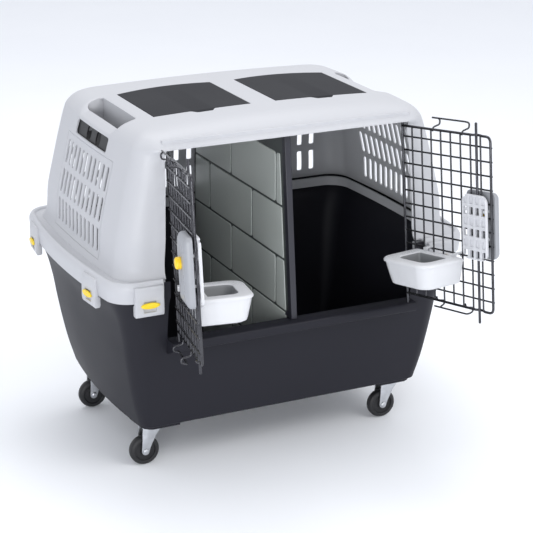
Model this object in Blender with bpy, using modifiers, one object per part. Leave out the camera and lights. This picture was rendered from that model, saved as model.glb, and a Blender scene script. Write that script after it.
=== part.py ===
"""Double pet travel crate on four swivel casters.

A dark tub and a light vented shell are held together by eight flap latches.
The roof has two hinged lids and a carrying handle at each end.  A divider
makes two compartments, each with its own welded wire door, whose two bolts
are drawn by one button, and with a bowl that hangs on the door.

Metres, +Z up.  The doors look towards -Y.  The empty "crate_frame" stands
under the middle of the tub; it is set back so that the origin lies on the
floor under the middle of the whole crate with its doors open.
"""
import math

import bmesh
import bpy
from mathutils import Matrix, Vector

for old in list(bpy.data.objects):
    bpy.data.objects.remove(old, do_unlink=True)

# Driving dimensions
SET_BACK = 0.1076               # tub's middle behind the origin
WALL = 0.0030                   # moulded walls
SEAT = 0.0003                   # gap between pieces that touch
RIM_L, RIM_W = 0.8000, 0.5486   # length and width over the skirt
RIM_R, RIM_BOW = 0.0490, 0.0213  # its corners, and how far its ends bow out
SKIRT_Z, SKIRT_H = 0.3931, 0.0369
ROOF_Z, ROOF_CROWN = 0.7045, 0.0060
ROOF_HX = 0.2500                # half length of the crowned roof
SILL_Z = 0.3000

HINGE_X, HINGE_Y, HINGE_Z = 0.2519, -0.2651, 0.3209  # foot of the right door's hinge line
LEAN = math.radians(6.56)       # the doors lean back
DOOR_OPEN = math.radians(102)
MEETING_GAP = 0.0047            # free edge of a closed door from the middle
HEAD_GAP = 0.0425               # door's top edge under the roof
UPRIGHTS, CROSS_WIRES = 8, 12
WIRE_R, FRAME_R = 0.0018, 0.0026
BOLT_R, BOLT_INSET = 0.0026, 0.0360
BOLT_OUT = 0.0250               # bolt tip beyond the door's frame
SOCKET_R = 0.0035

LID_INNER, LID_OUTER = 0.0280, 0.2320
LID_FRONT, LID_REAR, LID_BOW = -0.1096, 0.0927, 0.0140
LID_T, LID_GAP = 0.0040, 0.0012
TAB_W, TAB_OUT, TAB_DROP = 0.0260, 0.0125, 0.0055

TROUGH_X0, TROUGH_X1, TROUGH_HY = 0.2620, 0.2970, 0.0970
WINDOW_HY, WINDOW_H = 0.0880, 0.0290
DIVIDER_T = 0.0080
POST_W, POST_D = 0.0130, 0.0140

LATCH_X, LATCH_Y, LATCH_W = 0.3162, 0.1720, 0.0570
WHEEL_R, WHEEL_W, TRAIL = 0.0310, 0.0196, 0.0159
CASTER_INSET_X, CASTER_INSET_Y = 0.0447, 0.0509   # from the floor's edges
FORK_W, FORK_T = 0.0276, 0.0024
STEM_R, AXLE_R = 0.0050, 0.0039

# Sizes that follow from them
HX, HY = RIM_L / 2, RIM_W / 2
CHANNEL_Z = SKIRT_Z + SKIRT_H - 0.0010
BROW_Z = ROOF_Z - 0.0321        # lower edge of the front fascia
DOOR_W = HINGE_X - MEETING_GAP
DOOR_H = (ROOF_Z - HEAD_GAP - HINGE_Z) / math.cos(LEAN)
BOLT_W = DOOR_W - BOLT_INSET
BOLT_N = -0.0017
OPEN_HEAD_X, OPEN_FOOT_X = HINGE_X + 0.0066, HINGE_X + 0.0186
FORK_Z = 2 * WHEEL_R + 0.0222
CASTER_TOP = FORK_Z + 0.0098
PAD_Z = CASTER_TOP + SEAT
FLOOR_Z = PAD_Z + 0.0050
SIDES = ((-1, "left"), (1, "right"))
ENDS = ((-1, "front"), (1, "back"))

parts = bpy.data.collections.new("pet_travel_crate")
cutters = bpy.data.collections.new("cutters")
for collection in (parts, cutters):
    bpy.context.scene.collection.children.link(collection)


# Making and placing

def mesh_of(bm, name):
    """The finished mesh, its faces turned outwards."""
    bmesh.ops.recalc_face_normals(bm, faces=bm.faces)
    mesh = bpy.data.meshes.new(name)
    bm.to_mesh(mesh)
    bm.free()
    return mesh


def empty(name, parent=None, location=(0, 0, 0), rotation=(0, 0, 0)):
    ob = bpy.data.objects.new(name, None)
    parts.objects.link(ob)
    ob.parent = parent
    ob.location = location
    ob.rotation_mode = "ZYX"
    ob.rotation_euler = rotation
    return ob


def part(name, mesh, material, parent, location=(0, 0, 0), turn=0.0, smooth=0.0):
    """A named piece; round ones are shaded smooth up to the angle smooth."""
    ob = bpy.data.objects.new(name, mesh)
    parts.objects.link(ob)
    ob.parent = parent
    ob.location = location
    ob.rotation_euler.z = turn
    mesh.materials.append(material)
    if smooth:
        mesh.shade_smooth()
        mesh.set_sharp_from_angle(angle=math.radians(smooth))
    return ob


def combine(ob, mesh, operation, mirrored=False):
    """Cut or join a mesh given in the piece's own axes, on both sides if mirrored."""
    tool = bpy.data.objects.new(mesh.name, mesh)
    cutters.objects.link(tool)
    tool.parent = ob
    tool.hide_render = True
    tool.display_type = "WIRE"
    if mirrored:
        tool.modifiers.new("other side", "MIRROR").use_mirror_merge = False
    change = ob.modifiers.new(mesh.name, "BOOLEAN")
    change.object = tool
    change.operation = operation
    return tool


def wall(ob, thickness=WALL):
    solid = ob.modifiers.new("wall", "SOLIDIFY")
    solid.thickness = thickness
    solid.use_even_offset = True


def boxes(name, corners):
    """Boxes, each between its lowest and highest corner."""
    bm = bmesh.new()
    for low, high in corners:
        low, high = Vector(low), Vector(high)
        place = Matrix.Translation((low + high) / 2) @ Matrix.Diagonal((*(high - low), 1))
        bmesh.ops.create_cube(bm, size=1.0, matrix=place)
    return mesh_of(bm, name)


def rods(name, radius, sides, ends):
    """Round bars between pairs of points."""
    bm = bmesh.new()
    for start, end in ends:
        start, end = Vector(start), Vector(end)
        turn = (end - start).to_track_quat("Z", "Y").to_matrix().to_4x4()
        place = Matrix.Translation((start + end) / 2) @ turn
        bmesh.ops.create_cone(bm, cap_ends=True, segments=sides, radius1=radius, radius2=radius,
                              depth=(end - start).length, matrix=place)
    return mesh_of(bm, name)


def curve_mesh(curve, place=Matrix()):
    """The mesh of a curve, its caps welded, in the axes that place gives it."""
    ob = bpy.data.objects.new(curve.name, curve)
    bpy.context.scene.collection.objects.link(ob)
    ob.matrix_world = place
    graph = bpy.context.evaluated_depsgraph_get()
    mesh = bpy.data.meshes.new_from_object(ob.evaluated_get(graph))
    mesh.transform(place)
    bm = bmesh.new()
    bm.from_mesh(mesh)
    bmesh.ops.remove_doubles(bm, verts=bm.verts, dist=0.00001)
    bpy.data.meshes.remove(mesh)
    bpy.data.objects.remove(ob)
    return mesh_of(bm, curve.name)


def add_line(curve, points, cyclic):
    line = curve.splines.new("POLY")
    line.points.add(len(points) - 1)
    for point, place in zip(line.points, points):
        point.co = (*place, 1)
    line.use_cyclic_u = cyclic


AXES = {"x": Matrix(((0, 0, 1, 0), (1, 0, 0, 0), (0, 1, 0, 0), (0, 0, 0, 1))),
        "y": Matrix(((1, 0, 0, 0), (0, 0, -1, 0), (0, 1, 0, 0), (0, 0, 0, 1))),
        "z": Matrix()}


def prism(name, outlines, axis, low, high):
    """Flat outlines, in the two other axes, extruded from low to high along an axis."""
    curve = bpy.data.curves.new(name, "CURVE")
    curve.dimensions = "2D"
    curve.fill_mode = "BOTH"
    curve.extrude = (high - low) / 2
    for outline in outlines:
        add_line(curve, [(a, b, 0) for a, b in outline], True)
    middle = Vector([(low + high) / 2 if axis == letter else 0 for letter in "xyz"])
    return curve_mesh(curve, Matrix.Translation(middle) @ AXES[axis])


def wires(name, paths, radius, rounding):
    """Wires along paths; rounding 0 gives four sides, 1 six and 2 eight."""
    curve = bpy.data.curves.new(name, "CURVE")
    curve.dimensions = "3D"
    curve.bevel_depth = radius
    curve.bevel_resolution = rounding
    curve.use_fill_caps = True
    for path in paths:
        add_line(curve, path, False)
    return curve_mesh(curve)


def profile_mesh(name, points, closed=False):
    """A profile of (radius, height) points for turning about Z."""
    edges = [(i, i + 1) for i in range(len(points) - 1)]
    if closed:
        edges.append((len(points) - 1, 0))
    mesh = bpy.data.meshes.new(name)
    mesh.from_pydata([(r, 0, z) for r, z in points], edges, [])
    return mesh


def turn_profile(ob, steps):
    screw = ob.modifiers.new("turned", "SCREW")
    screw.steps = screw.render_steps = steps
    screw.use_merge_vertices = True
    screw.merge_threshold = 0.00001
    screw.use_smooth_shade = True
    return ob


def loft(sections, capped=True):
    """Closed sections of equal count joined one after another."""
    bm = bmesh.new()
    rows = [[bm.verts.new(point) for point in section] for section in sections]
    for lower, upper in zip(rows, rows[1:]):
        for i in range(len(lower)):
            bm.faces.new((lower[i - 1], lower[i], upper[i], upper[i - 1]))
    if capped:
        bm.faces.new(rows[0])
        bm.faces.new(rows[-1])
    return bm, rows


def lofted(name, sections):
    return mesh_of(loft(sections)[0], name)


def rounded(x0, x1, y0, y1, radius, points=3):
    """Rectangle with round corners, anticlockwise."""
    outline = []
    for quarter, (cx, cy) in enumerate(((x1 - radius, y1 - radius), (x0 + radius, y1 - radius),
                                        (x0 + radius, y0 + radius), (x1 - radius, y0 + radius))):
        for i in range(points):
            angle = math.pi / 2 * (quarter + i / (points - 1))
            outline.append((cx + radius * math.cos(angle), cy + radius * math.sin(angle)))
    return outline


def eased(t):
    t = min(max(t, 0.0), 1.0)
    return t * t * (3 - 2 * t)


def finish(name, colour, roughness, metallic=0.0):
    material = bpy.data.materials.new(name)
    material.use_nodes = True
    shader = material.node_tree.nodes["Principled BSDF"]
    shader.inputs["Base Color"].default_value = (*colour, 1)
    shader.inputs["Roughness"].default_value = roughness
    shader.inputs["Metallic"].default_value = metallic
    return material


SHELL_PLASTIC = finish("shell_plastic", (0.62, 0.63, 0.67), 0.45)
BASE_PLASTIC = finish("base_plastic", (0.026, 0.027, 0.034), 0.50)
LID_PLASTIC = finish("lid_plastic", (0.035, 0.037, 0.047), 0.50)
INSERT_PLASTIC = finish("insert_plastic", (0.020, 0.020, 0.024), 0.55)
DIVIDER_PLASTIC = finish("divider_plastic", (0.19, 0.21, 0.19), 0.50)
EDGE_PLASTIC = finish("edge_plastic", (0.018, 0.018, 0.020), 0.45)
COATED_WIRE = finish("coated_wire", (0.016, 0.016, 0.018), 0.40)
BOLT_STEEL = finish("bolt_steel", (0.030, 0.030, 0.033), 0.35, 0.6)
LATCH_PLASTIC = finish("latch_body_plastic", (0.52, 0.53, 0.55), 0.45)
BUTTON_PLASTIC = finish("button_plastic", (0.83, 0.58, 0.02), 0.40)
BOWL_PLASTIC = finish("bowl_plastic", (0.80, 0.80, 0.79), 0.35)
CASTER_BLACK = finish("caster_black", (0.020, 0.020, 0.022), 0.55)
WHEEL_RUBBER = finish("wheel_rubber", (0.022, 0.022, 0.024), 0.60)
ZINC_STEEL = finish("zinc_steel", (0.62, 0.63, 0.65), 0.30, 1.0)

frame = empty("crate_frame", location=(0, SET_BACK, 0))


# The plan of shell and tub: a rounded oblong whose ends bow out

CORNER_ANGLES = [math.radians(a) for a in (8, 35, 62, 90)]
STILL_Y = 0.1022                # stations up to here keep their place, others follow the corner
END_STATIONS = (0.0341, 0.0795, STILL_Y, LATCH_Y - LATCH_W / 2, LATCH_Y + LATCH_W / 2)
CORNER_EASE = 0.0040


def plan(z, half_x, half_y, corner, bow, end_stations=END_STATIONS, front_stations=(0.1662, 0.0)):
    """Outline at one height, anticlockwise from the middle of the +X end."""
    centre_y = half_y - corner
    rim_reach = HY - RIM_R - CORNER_EASE - STILL_Y
    squeeze = (centre_y - CORNER_EASE - STILL_Y) / rim_reach
    ys = [y if y <= STILL_Y else STILL_Y + (y - STILL_Y) * squeeze for y in end_stations]

    def end_x(y):
        return half_x - bow * (y / half_y) ** 2

    first = CORNER_ANGLES[0]
    centre_x = end_x(centre_y + corner * math.sin(first)) - corner * math.cos(first)
    quarter = [(end_x(y), y) for y in ys]
    quarter += [(centre_x + corner * math.cos(a), centre_y + corner * math.sin(a)) for a in CORNER_ANGLES]
    quarter += [(x, half_y) for x in front_stations]
    half = quarter + [(-x, y) for x, y in quarter[::-1] if x > 0]
    return [(x, y, z) for x, y in half + [(-x, -y) for x, y in half]]


def roof_z(x):
    return ROOF_Z + ROOF_CROWN * (1 - (x / ROOF_HX) ** 2)


# Upper shell: skirt, channel behind it, leaning vented walls, brow and crowned roof.
# Each level: height, how far its plan is drawn in along x and y, corner, bow,
# brow forwards, dip of the roof edge at the handles, share of the crown.
WALL_Z0 = CHANNEL_Z + 0.0040


def wall_z(share):
    return WALL_Z0 + share * (BROW_Z - WALL_Z0)


SHELL_LEVELS = (
    (SKIRT_Z, 0, 0, RIM_R, RIM_BOW, 0, 0, 0),
    (SKIRT_Z + SKIRT_H, 0, 0, RIM_R, RIM_BOW, 0, 0, 0),
    (SKIRT_Z + SKIRT_H + 0.0037, 0.0032, 0.0032, 0.0458, RIM_BOW, 0, 0, 0),
    (SKIRT_Z + SKIRT_H + 0.0030, 0.0078, 0.0078, 0.0422, RIM_BOW, 0, 0, 0),
    (CHANNEL_Z, 0.0100, 0.0100, 0.0410, RIM_BOW, 0, 0, 0),
    (CHANNEL_Z, 0.0265, 0.0211, 0.0500, 0.0130, 0, 0, 0),
    (WALL_Z0, 0.0300, 0.0243, 0.0500, 0.0110, 0, 0, 0),
    (wall_z(0.30), 0.0412, 0.0291, 0.0495, 0.0110, 0, 0, 0),
    (wall_z(0.55), 0.0545, 0.0335, 0.0490, 0.0108, 0, 0, 0),
    (wall_z(0.787), 0.0685, 0.0373, 0.0480, 0.0104, 0, 0, 0),
    (BROW_Z, 0.0832, 0.0428, 0.0465, 0.0100, 0.0079, 0.001, 0),
    (BROW_Z + 0.0096, 0.0895, 0.0473, 0.0450, 0.0100, 0.0065, 0.006, 0),
    (BROW_Z + 0.0191, 0.1000, 0.0553, 0.0420, 0.0095, 0.0035, 0.010, 0.10),
    (BROW_Z + 0.0256, 0.1130, 0.0673, 0.0380, 0.0090, 0.0010, 0.012, 0.45),
    (BROW_Z + 0.0296, 0.1300, 0.0843, 0.0340, 0.0080, 0, 0.004, 0.80),
    (ROOF_Z, HX - ROOF_HX, 0.1063, 0.0300, 0.0070, 0, 0, 1.0),
)


def shell_section(z, in_x, in_y, corner, bow, brow, dip, crown):
    section = []
    for x, y, _ in plan(z, HX - in_x, HY - in_y, corner, bow):
        height = z + crown * ROOF_CROWN * max(0.0, 1 - (x / ROOF_HX) ** 2)
        if abs(x) > ROOF_HX + 0.005:
            height -= dip * eased((STILL_Y - abs(y)) / 0.0220)
        if y < -0.10:
            y -= brow * eased((0.300 - abs(x)) / 0.030)
        section.append((x, y, height))
    return section


bm, rows = loft([shell_section(*level) for level in SHELL_LEVELS], capped=False)
top = rows[-1]
for i in range(len(top) // 2 - 1):
    bm.faces.new((top[i], top[i + 1], top[-i - 2], top[-i - 1]))
upper_shell = part("upper_shell", mesh_of(bm, "upper_shell"), SHELL_PLASTIC, frame, smooth=35)
wall(upper_shell)

# Walls that box in the two handle troughs under the roof's ends
TROUGH_Z = BROW_Z - 0.0004
WINDOW_Z = TROUGH_Z - 0.0340
INNER_X, LIP = TROUGH_X0 - 0.0035, 0.0003
cheek = [(INNER_X, WINDOW_Z - 0.0020), (0.3245, WINDOW_Z - 0.0020), (0.3222, WINDOW_Z + 0.0070),
         (0.3135, BROW_Z), (0.3075, BROW_Z + 0.0081), (0.2980, BROW_Z + 0.0171),
         (0.2860, BROW_Z + 0.0231), (INNER_X, BROW_Z + 0.0291)]
for side in (-1, 1):
    y0, y1 = sorted((side * (TROUGH_HY + LIP), side * (TROUGH_HY + LIP + WALL)))
    combine(upper_shell, prism("trough_cheeks", [cheek], "y", y0, y1), "UNION", True)
combine(upper_shell, boxes("trough_walls", [((INNER_X + LIP, -TROUGH_HY - 0.0018, WINDOW_Z - 0.0018),
                                             (INNER_X + LIP + WALL, TROUGH_HY + 0.0018, BROW_Z + 0.0284))]),
        "UNION", True)

door_line = [(OPEN_FOOT_X + 0.0055, SILL_Z + 0.060), (OPEN_FOOT_X, CHANNEL_Z + 0.0075),
             (OPEN_HEAD_X, BROW_Z)]
doorway = door_line + [(-x, z) for x, z in door_line[::-1]]
combine(upper_shell, prism("doorway", [doorway], "y", -HY - 0.066, -0.205), "DIFFERENCE")
SKIRT_END_X = HINGE_X + 0.0321
combine(upper_shell, boxes("skirt_gap", [((-SKIRT_END_X, -HY - 0.066, SKIRT_Z - 0.02),
                                          (SKIRT_END_X, -0.2545, CHANNEL_Z + 0.0115))]), "DIFFERENCE")

TAB_X = (LID_INNER + LID_OUTER) / 2
TAB_FLARE = 0.0130
TAB_LINE = ((TAB_X - TAB_W / 2 - TAB_FLARE, 0.0), (TAB_X - TAB_W / 2, TAB_OUT),
            (TAB_X + TAB_W / 2, TAB_OUT), (TAB_X + TAB_W / 2 + TAB_FLARE, 0.0))
LID_STATIONS = (LID_INNER, 0.0660) + tuple(x for x, _ in TAB_LINE) + (0.1940, LID_OUTER)


def lid_rear(x):
    half = (LID_OUTER - LID_INNER) / 2
    return LID_REAR + LID_BOW * (1 - ((x - TAB_X) / half) ** 2)


def lid_front(x):
    """Front edge and how far the finger tab drops there."""
    tab = TAB_OUT if abs(x - TAB_X) <= TAB_W / 2 + 0.0001 else 0.0
    return LID_FRONT - tab, TAB_DROP if tab else 0.0


hole = [(LID_INNER - LID_GAP, LID_FRONT - LID_GAP)]
for x, out in TAB_LINE:
    hole.append((x + math.copysign(LID_GAP, x - TAB_X), LID_FRONT - LID_GAP - out * 1.12))
hole += [(LID_OUTER + LID_GAP, LID_FRONT - LID_GAP), (LID_OUTER + LID_GAP, lid_rear(LID_OUTER) + LID_GAP)]
hole += [(x, lid_rear(x) + LID_GAP) for x in LID_STATIONS[-2:0:-1]]
hole += [(LID_INNER - LID_GAP, lid_rear(LID_INNER) + LID_GAP)]
combine(upper_shell, prism("lid_openings", [hole], "z", ROOF_Z - 0.015, ROOF_Z + 0.025), "DIFFERENCE", True)

trough = rounded(TROUGH_X0, TROUGH_X1, -TROUGH_HY, TROUGH_HY, 0.0070)
combine(upper_shell, prism("troughs", [trough], "z", TROUGH_Z, ROOF_Z + 0.0205), "DIFFERENCE", True)
window = rounded(-WINDOW_HY, WINDOW_HY, WINDOW_Z, WINDOW_Z + WINDOW_H, 0.0080)
combine(upper_shell, prism("windows", [window], "x", TROUGH_X1 + 0.0075, TROUGH_X1 + 0.048),
        "DIFFERENCE", True)

# Vents: three rows of upright slots in each end and in the back wall
END_SLOTS, END_PITCH, END_SLOT_W = 11, 0.0227, 0.0090
BACK_SLOTS, BACK_FIRST, BACK_PITCH, BACK_SLOT_W = 11, 0.0260, 0.0255, 0.0126
VENT_ROWS, ROW_PITCH, END_SLOT_H, BACK_SLOT_H = 3, 0.0590, 0.0465, 0.0450
END_VENT_Z, BACK_VENT_Z = CHANNEL_Z + 0.0230, CHANNEL_Z + 0.0110
end_slots, back_slots = [], []
for row in range(VENT_ROWS):
    z = END_VENT_Z + row * ROW_PITCH
    for k in range(END_SLOTS):
        y = (k - (END_SLOTS - 1) / 2) * END_PITCH
        end_slots.append(((0.300, y - END_SLOT_W / 2, z), (HX, y + END_SLOT_W / 2, z + END_SLOT_H)))
    z = BACK_VENT_Z + row * ROW_PITCH
    for k in range(BACK_SLOTS):
        x = BACK_FIRST + k * BACK_PITCH
        back_slots.append(((x - BACK_SLOT_W / 2, 0.225, z), (x + BACK_SLOT_W / 2, HY, z + BACK_SLOT_H)))
combine(upper_shell, boxes("end_vents", end_slots), "DIFFERENCE", True)
combine(upper_shell, boxes("back_vents", back_slots), "DIFFERENCE", True)

# A tongue reaches down into the tub; the doorway interrupts it
TONGUE = ((SKIRT_Z + 0.0089, 0.0285, 0.0230), (WALL_Z0 + 0.0030, 0.0320, 0.0265))
bm, _ = loft([plan(z, HX - in_x, HY - in_y, 0.0500, 0.0110) for z, in_x, in_y in TONGUE], capped=False)
tongue = combine(upper_shell, mesh_of(bm, "tongue"), "UNION")
wall(tongue, 0.0025)
combine(tongue, boxes("tongue_gap", [((-OPEN_FOOT_X, -HY - 0.026, SKIRT_Z), (OPEN_FOOT_X, -0.200, 0.450))]),
        "DIFFERENCE")

# Lintel rail behind the brow and returns behind the posts
combine(upper_shell, boxes("lintel", [((-OPEN_HEAD_X - 0.0055, -0.2325, BROW_Z + 0.0036),
                                       (OPEN_HEAD_X + 0.0055, -0.2080, BROW_Z + 0.0181))]), "UNION")
foot_x, head_x, RETURN_T = OPEN_FOOT_X + 0.0007, OPEN_HEAD_X + 0.0005, 0.0030
returns = [[(x, y, z) for x, y in ((x0, y0), (x0 + RETURN_T, y0), (x0 + RETURN_T, y1), (x0, y1))]
           for x0, y0, y1, z in ((foot_x, -0.2515, -0.2370, CHANNEL_Z + 0.0045),
                                 (head_x, -0.2325, -0.2190, BROW_Z + 0.0066))]
combine(upper_shell, lofted("post_returns", returns), "UNION", True)


def door_place(side, angle):
    """From a door's own axes to the crate's: hinge at the origin, z up the hinge."""
    foot = Matrix.Translation((side * HINGE_X, HINGE_Y, HINGE_Z))
    return foot @ Matrix.Rotation(-LEAN, 4, "X") @ Matrix.Rotation(side * angle, 4, "Z")


def sockets(name, low, high):
    """Bores for both doors' hinge rods and bolts between two heights."""
    ends = []
    for side, _ in SIDES:
        closed = door_place(side, 0)
        for across, out in ((0, 0), (BOLT_W, BOLT_N)):
            ends.append([closed @ Vector((-side * across, -out, (z - HINGE_Z) / math.cos(LEAN)))
                         for z in (low, high)])
    return rods(name, SOCKET_R, 12, ends)


combine(upper_shell, sockets("lintel_sockets", BROW_Z - 0.0024, BROW_Z + 0.0161), "DIFFERENCE")

# Base tub, open at the top, notched for the doorway
TUB_LEVELS = (   # height, drawn in along x and y, corner, bow
    (FLOOR_Z, 0.0830, 0.0678, 0.0180, 0.0155),
    (FLOOR_Z + 0.0037, 0.0765, 0.0623, 0.0220, 0.0155),
    (FLOOR_Z + 0.0507, 0.0634, 0.0521, 0.0280, 0.0165),
    (FLOOR_Z + 0.1007, 0.0530, 0.0433, 0.0330, 0.0175),
    (FLOOR_Z + 0.1507, 0.0445, 0.0353, 0.0370, 0.0185),
    (SILL_Z, 0.0370, 0.0278, 0.0400, 0.0195),
    (SILL_Z + 0.0500, 0.0245, 0.0198, 0.0430, 0.0205),
    (SKIRT_Z - 0.0131, 0.0110, 0.0128, 0.0440, 0.0213),
    (SKIRT_Z + 0.0029, 0.0045, 0.0045, 0.0455, 0.0213),
    (CHANNEL_Z - 0.0035, 0.0045, 0.0045, 0.0455, 0.0213),
)
sections = [plan(z, HX - in_x, HY - in_y, corner, bow, (0.0500, 0.1000, 0.1500), (0.0,))
            for z, in_x, in_y, corner, bow in TUB_LEVELS]
bm, rows = loft(sections, capped=False)
bm.faces.new(rows[0])
base_tub = part("base_tub", mesh_of(bm, "base_tub"), BASE_PLASTIC, frame, smooth=35)
wall(base_tub)
SILL_X = OPEN_HEAD_X + 0.0095
combine(base_tub, boxes("tub_doorway", [((-SILL_X, -HY - 0.066, SILL_Z),
                                         (SILL_X, -0.200, SKIRT_Z + 0.067))]), "DIFFERENCE")
rail = [(-0.2400, SILL_Z - 0.0300), (-0.2480, SILL_Z - 0.0300), (-0.2750, SILL_Z - 0.0165),
        (-0.2755, SILL_Z - 0.0035), (-0.2720, SILL_Z), (-0.2400, SILL_Z)]
combine(base_tub, prism("sill_rail", [rail], "x", -SILL_X, SILL_X), "UNION")
CASTER_X, CASTER_Y = HX - 0.0830 - CASTER_INSET_X, HY - 0.0678 - CASTER_INSET_Y
pad = [(-0.0443, -0.0206), (0.0377, -0.0206), (0.0322, 0.0274), (0.0282, 0.0384),
       (0.0207, 0.0459), (0.0127, 0.0494), (-0.0443, 0.0494)]
pads = [[(sx * (CASTER_X + x), sy * (CASTER_Y + y)) for x, y in pad]
        for sx, _ in SIDES for sy, _ in ENDS]
combine(base_tub, prism("caster_pads", pads, "z", PAD_Z, FLOOR_Z + 0.0017), "UNION")
# The divider stands in a shallow groove between the two floors
GROOVE_Z, GROOVE_HX, GROOVE_HY = FLOOR_Z + 0.0015, DIVIDER_T / 2 + SEAT, 0.2075
combine(base_tub, boxes("divider_groove", [((-GROOVE_HX, -GROOVE_HY, GROOVE_Z),
                                            (GROOVE_HX, GROOVE_HY, FLOOR_Z + 0.0060))]), "DIFFERENCE")
combine(base_tub, sockets("sill_sockets", SILL_Z - 0.038, SILL_Z + 0.012), "DIFFERENCE")

# Roof lids, each turning about its rear corners
LID_PIVOT = Vector((TAB_X, LID_REAR + 0.0008, ROOF_Z + ROOF_CROWN))
for side, tag in SIDES:
    pivot = Vector((side * LID_PIVOT.x, LID_PIVOT.y, LID_PIVOT.z))
    sections = []
    for x in LID_STATIONS:
        front, drop = lid_front(x)
        top_z = roof_z(x) + 0.0004
        line = [(front, top_z - drop), (LID_FRONT + 0.0040, top_z), (lid_rear(x), top_z)]
        line += [(y, z - LID_T) for y, z in line[::-1]]
        sections.append([Vector((side * x, y, z)) - pivot for y, z in line])
    lid = part("roof_lid_" + tag, lofted("roof_lid", sections), LID_PLASTIC, frame, pivot)
    ears = []
    for x, outwards in ((LID_INNER, -1), (LID_OUTER, 1)):
        near, far = sorted((side * (x - outwards * 0.0040), side * (x + outwards * (LID_GAP - SEAT))))
        ears.append((Vector((near, LID_REAR - 0.0130, roof_z(x) - LID_T + 0.0006)) - pivot,
                     Vector((far, LID_REAR - 0.0008, roof_z(x) - 0.0004)) - pivot))
    combine(lid, boxes("lid_ears", ears), "UNION")

# Handle inserts: black liners in the windows, each with two finger slots
INSERT_HY = TROUGH_HY - 0.0008
liner_z = WINDOW_Z - 0.0055
liner = [(INNER_X + 0.0005, liner_z), (0.3228, liner_z), (0.3125, liner_z + 0.0355),
         (0.3097, liner_z + 0.0355), (0.3186, liner_z + WALL), (INNER_X + 0.0005, liner_z + WALL)]
for side, tag in SIDES:
    outline = [(side * x, z) for x, z in liner]
    insert = part("handle_insert_" + tag, prism("handle_insert", [outline], "y", -INSERT_HY, INSERT_HY),
                  INSERT_PLASTIC, frame)
    slots = [rounded(y - 0.0090, y + 0.0090, liner_z + 0.0095, liner_z + 0.0305, 0.0085)
             for y in (-0.030, 0.030)]
    low, high = sorted((side * 0.300, side * 0.335))
    combine(insert, prism("finger_slots", slots, "x", low, high), "DIFFERENCE")

# Divider: a panel from tub to roof, and the black post at its front edge
POST_FOOT, POST_HEAD = (-0.2563, SILL_Z + 0.0005), (-0.2210, BROW_Z + 0.0021)


def post_y(z):
    (y0, z0), (y1, z1) = POST_FOOT, POST_HEAD
    return y0 + (y1 - y0) * (z - z0) / (z1 - z0)


post_z0, post_z1 = POST_FOOT[1], POST_HEAD[1]
post = [(post_y(post_z0), post_z0), (-0.2263, post_z0), (-0.2263, post_z0 + 0.0055),
        (post_y(post_z0 + 0.0175) + POST_D, post_z0 + 0.0175), (post_y(post_z1) + POST_D, post_z1),
        (post_y(post_z1), post_z1)]
part("divider_edge", prism("divider_edge", [post], "x", -POST_W / 2, POST_W / 2), EDGE_PLASTIC, frame)
behind = POST_D + 0.0004
panel = [(-0.2050, GROOVE_Z + SEAT), (-0.2060, FLOOR_Z + 0.0037), (-0.2340, SILL_Z - 0.0260),
         (-0.2340, SILL_Z - 0.0015),
         (-0.2255, SILL_Z - 0.0015), (-0.2255, SILL_Z + 0.0080),
         (post_y(SILL_Z + 0.0200) + behind, SILL_Z + 0.0200),
         (post_y(BROW_Z + 0.0016) + behind, BROW_Z + 0.0016),
         (-0.2065, BROW_Z + 0.0016), (-0.2065, BROW_Z + 0.0201), (-0.1660, ROOF_Z + 0.0005),
         (0.1660, ROOF_Z + 0.0005), (0.1890, ROOF_Z - 0.0040), (0.2060, ROOF_Z - 0.0115),
         (0.2180, ROOF_Z - 0.0195), (0.2260, ROOF_Z - 0.0310), (0.2310, ROOF_Z - 0.0595),
         (0.2370, wall_z(0.53)), (0.2415, wall_z(0.28)), (0.2440, CHANNEL_Z + 0.011),
         (0.2440, SILL_Z + 0.0150),
         (0.2425, SILL_Z), (0.2350, FLOOR_Z + 0.1507), (0.2270, FLOOR_Z + 0.1007),
         (0.2180, FLOOR_Z + 0.0507), (0.2080, FLOOR_Z + 0.0052), (0.2045, FLOOR_Z + 0.0037),
         (0.2035, GROOVE_Z + SEAT)]
part("divider_panel", prism("divider_panel", [panel], "x", -DIVIDER_T / 2, DIVIDER_T / 2),
     DIVIDER_PLASTIC, frame)

# Doors.  In a door's own axes x runs from the hinge to the free edge times -side,
# y into the crate and z up the hinge; w below is the way from the hinge.
W_STEP = DOOR_W / (UPRIGHTS + 1)
END_WIRE = 0.0215
V_STEP = (DOOR_H - 2 * END_WIRE) / (CROSS_WIRES - 1)
UPRIGHT_N, CROSS_N = 0.0006, 0.0033
CORNER_R, JOG = 0.0140, 0.0044
HOOK_OUT, HOOK_UP = 0.0252, 0.0190


def frame_path():
    """From the hinge round the free side and back, stepping out round each bolt."""
    half = [(0.0, DOOR_H, 0.0)]
    for w, out in ((-0.0105, 0.0), (-0.0055, JOG), (0.0055, JOG), (0.0105, 0.0)):
        half.append((BOLT_W + w, DOOR_H, out))
    for angle in (math.pi / 2, math.pi / 3, math.pi / 6, 0.0):
        half.append((DOOR_W - CORNER_R * (1 - math.cos(angle)),
                     DOOR_H - CORNER_R * (1 - math.sin(angle)), 0.0))
    return half + [(w, DOOR_H - v, out) for w, v, out in half[::-1]]


HOOK_N = FRAME_R + WIRE_R + SEAT    # where a hook's legs lie on the door's frame


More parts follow.
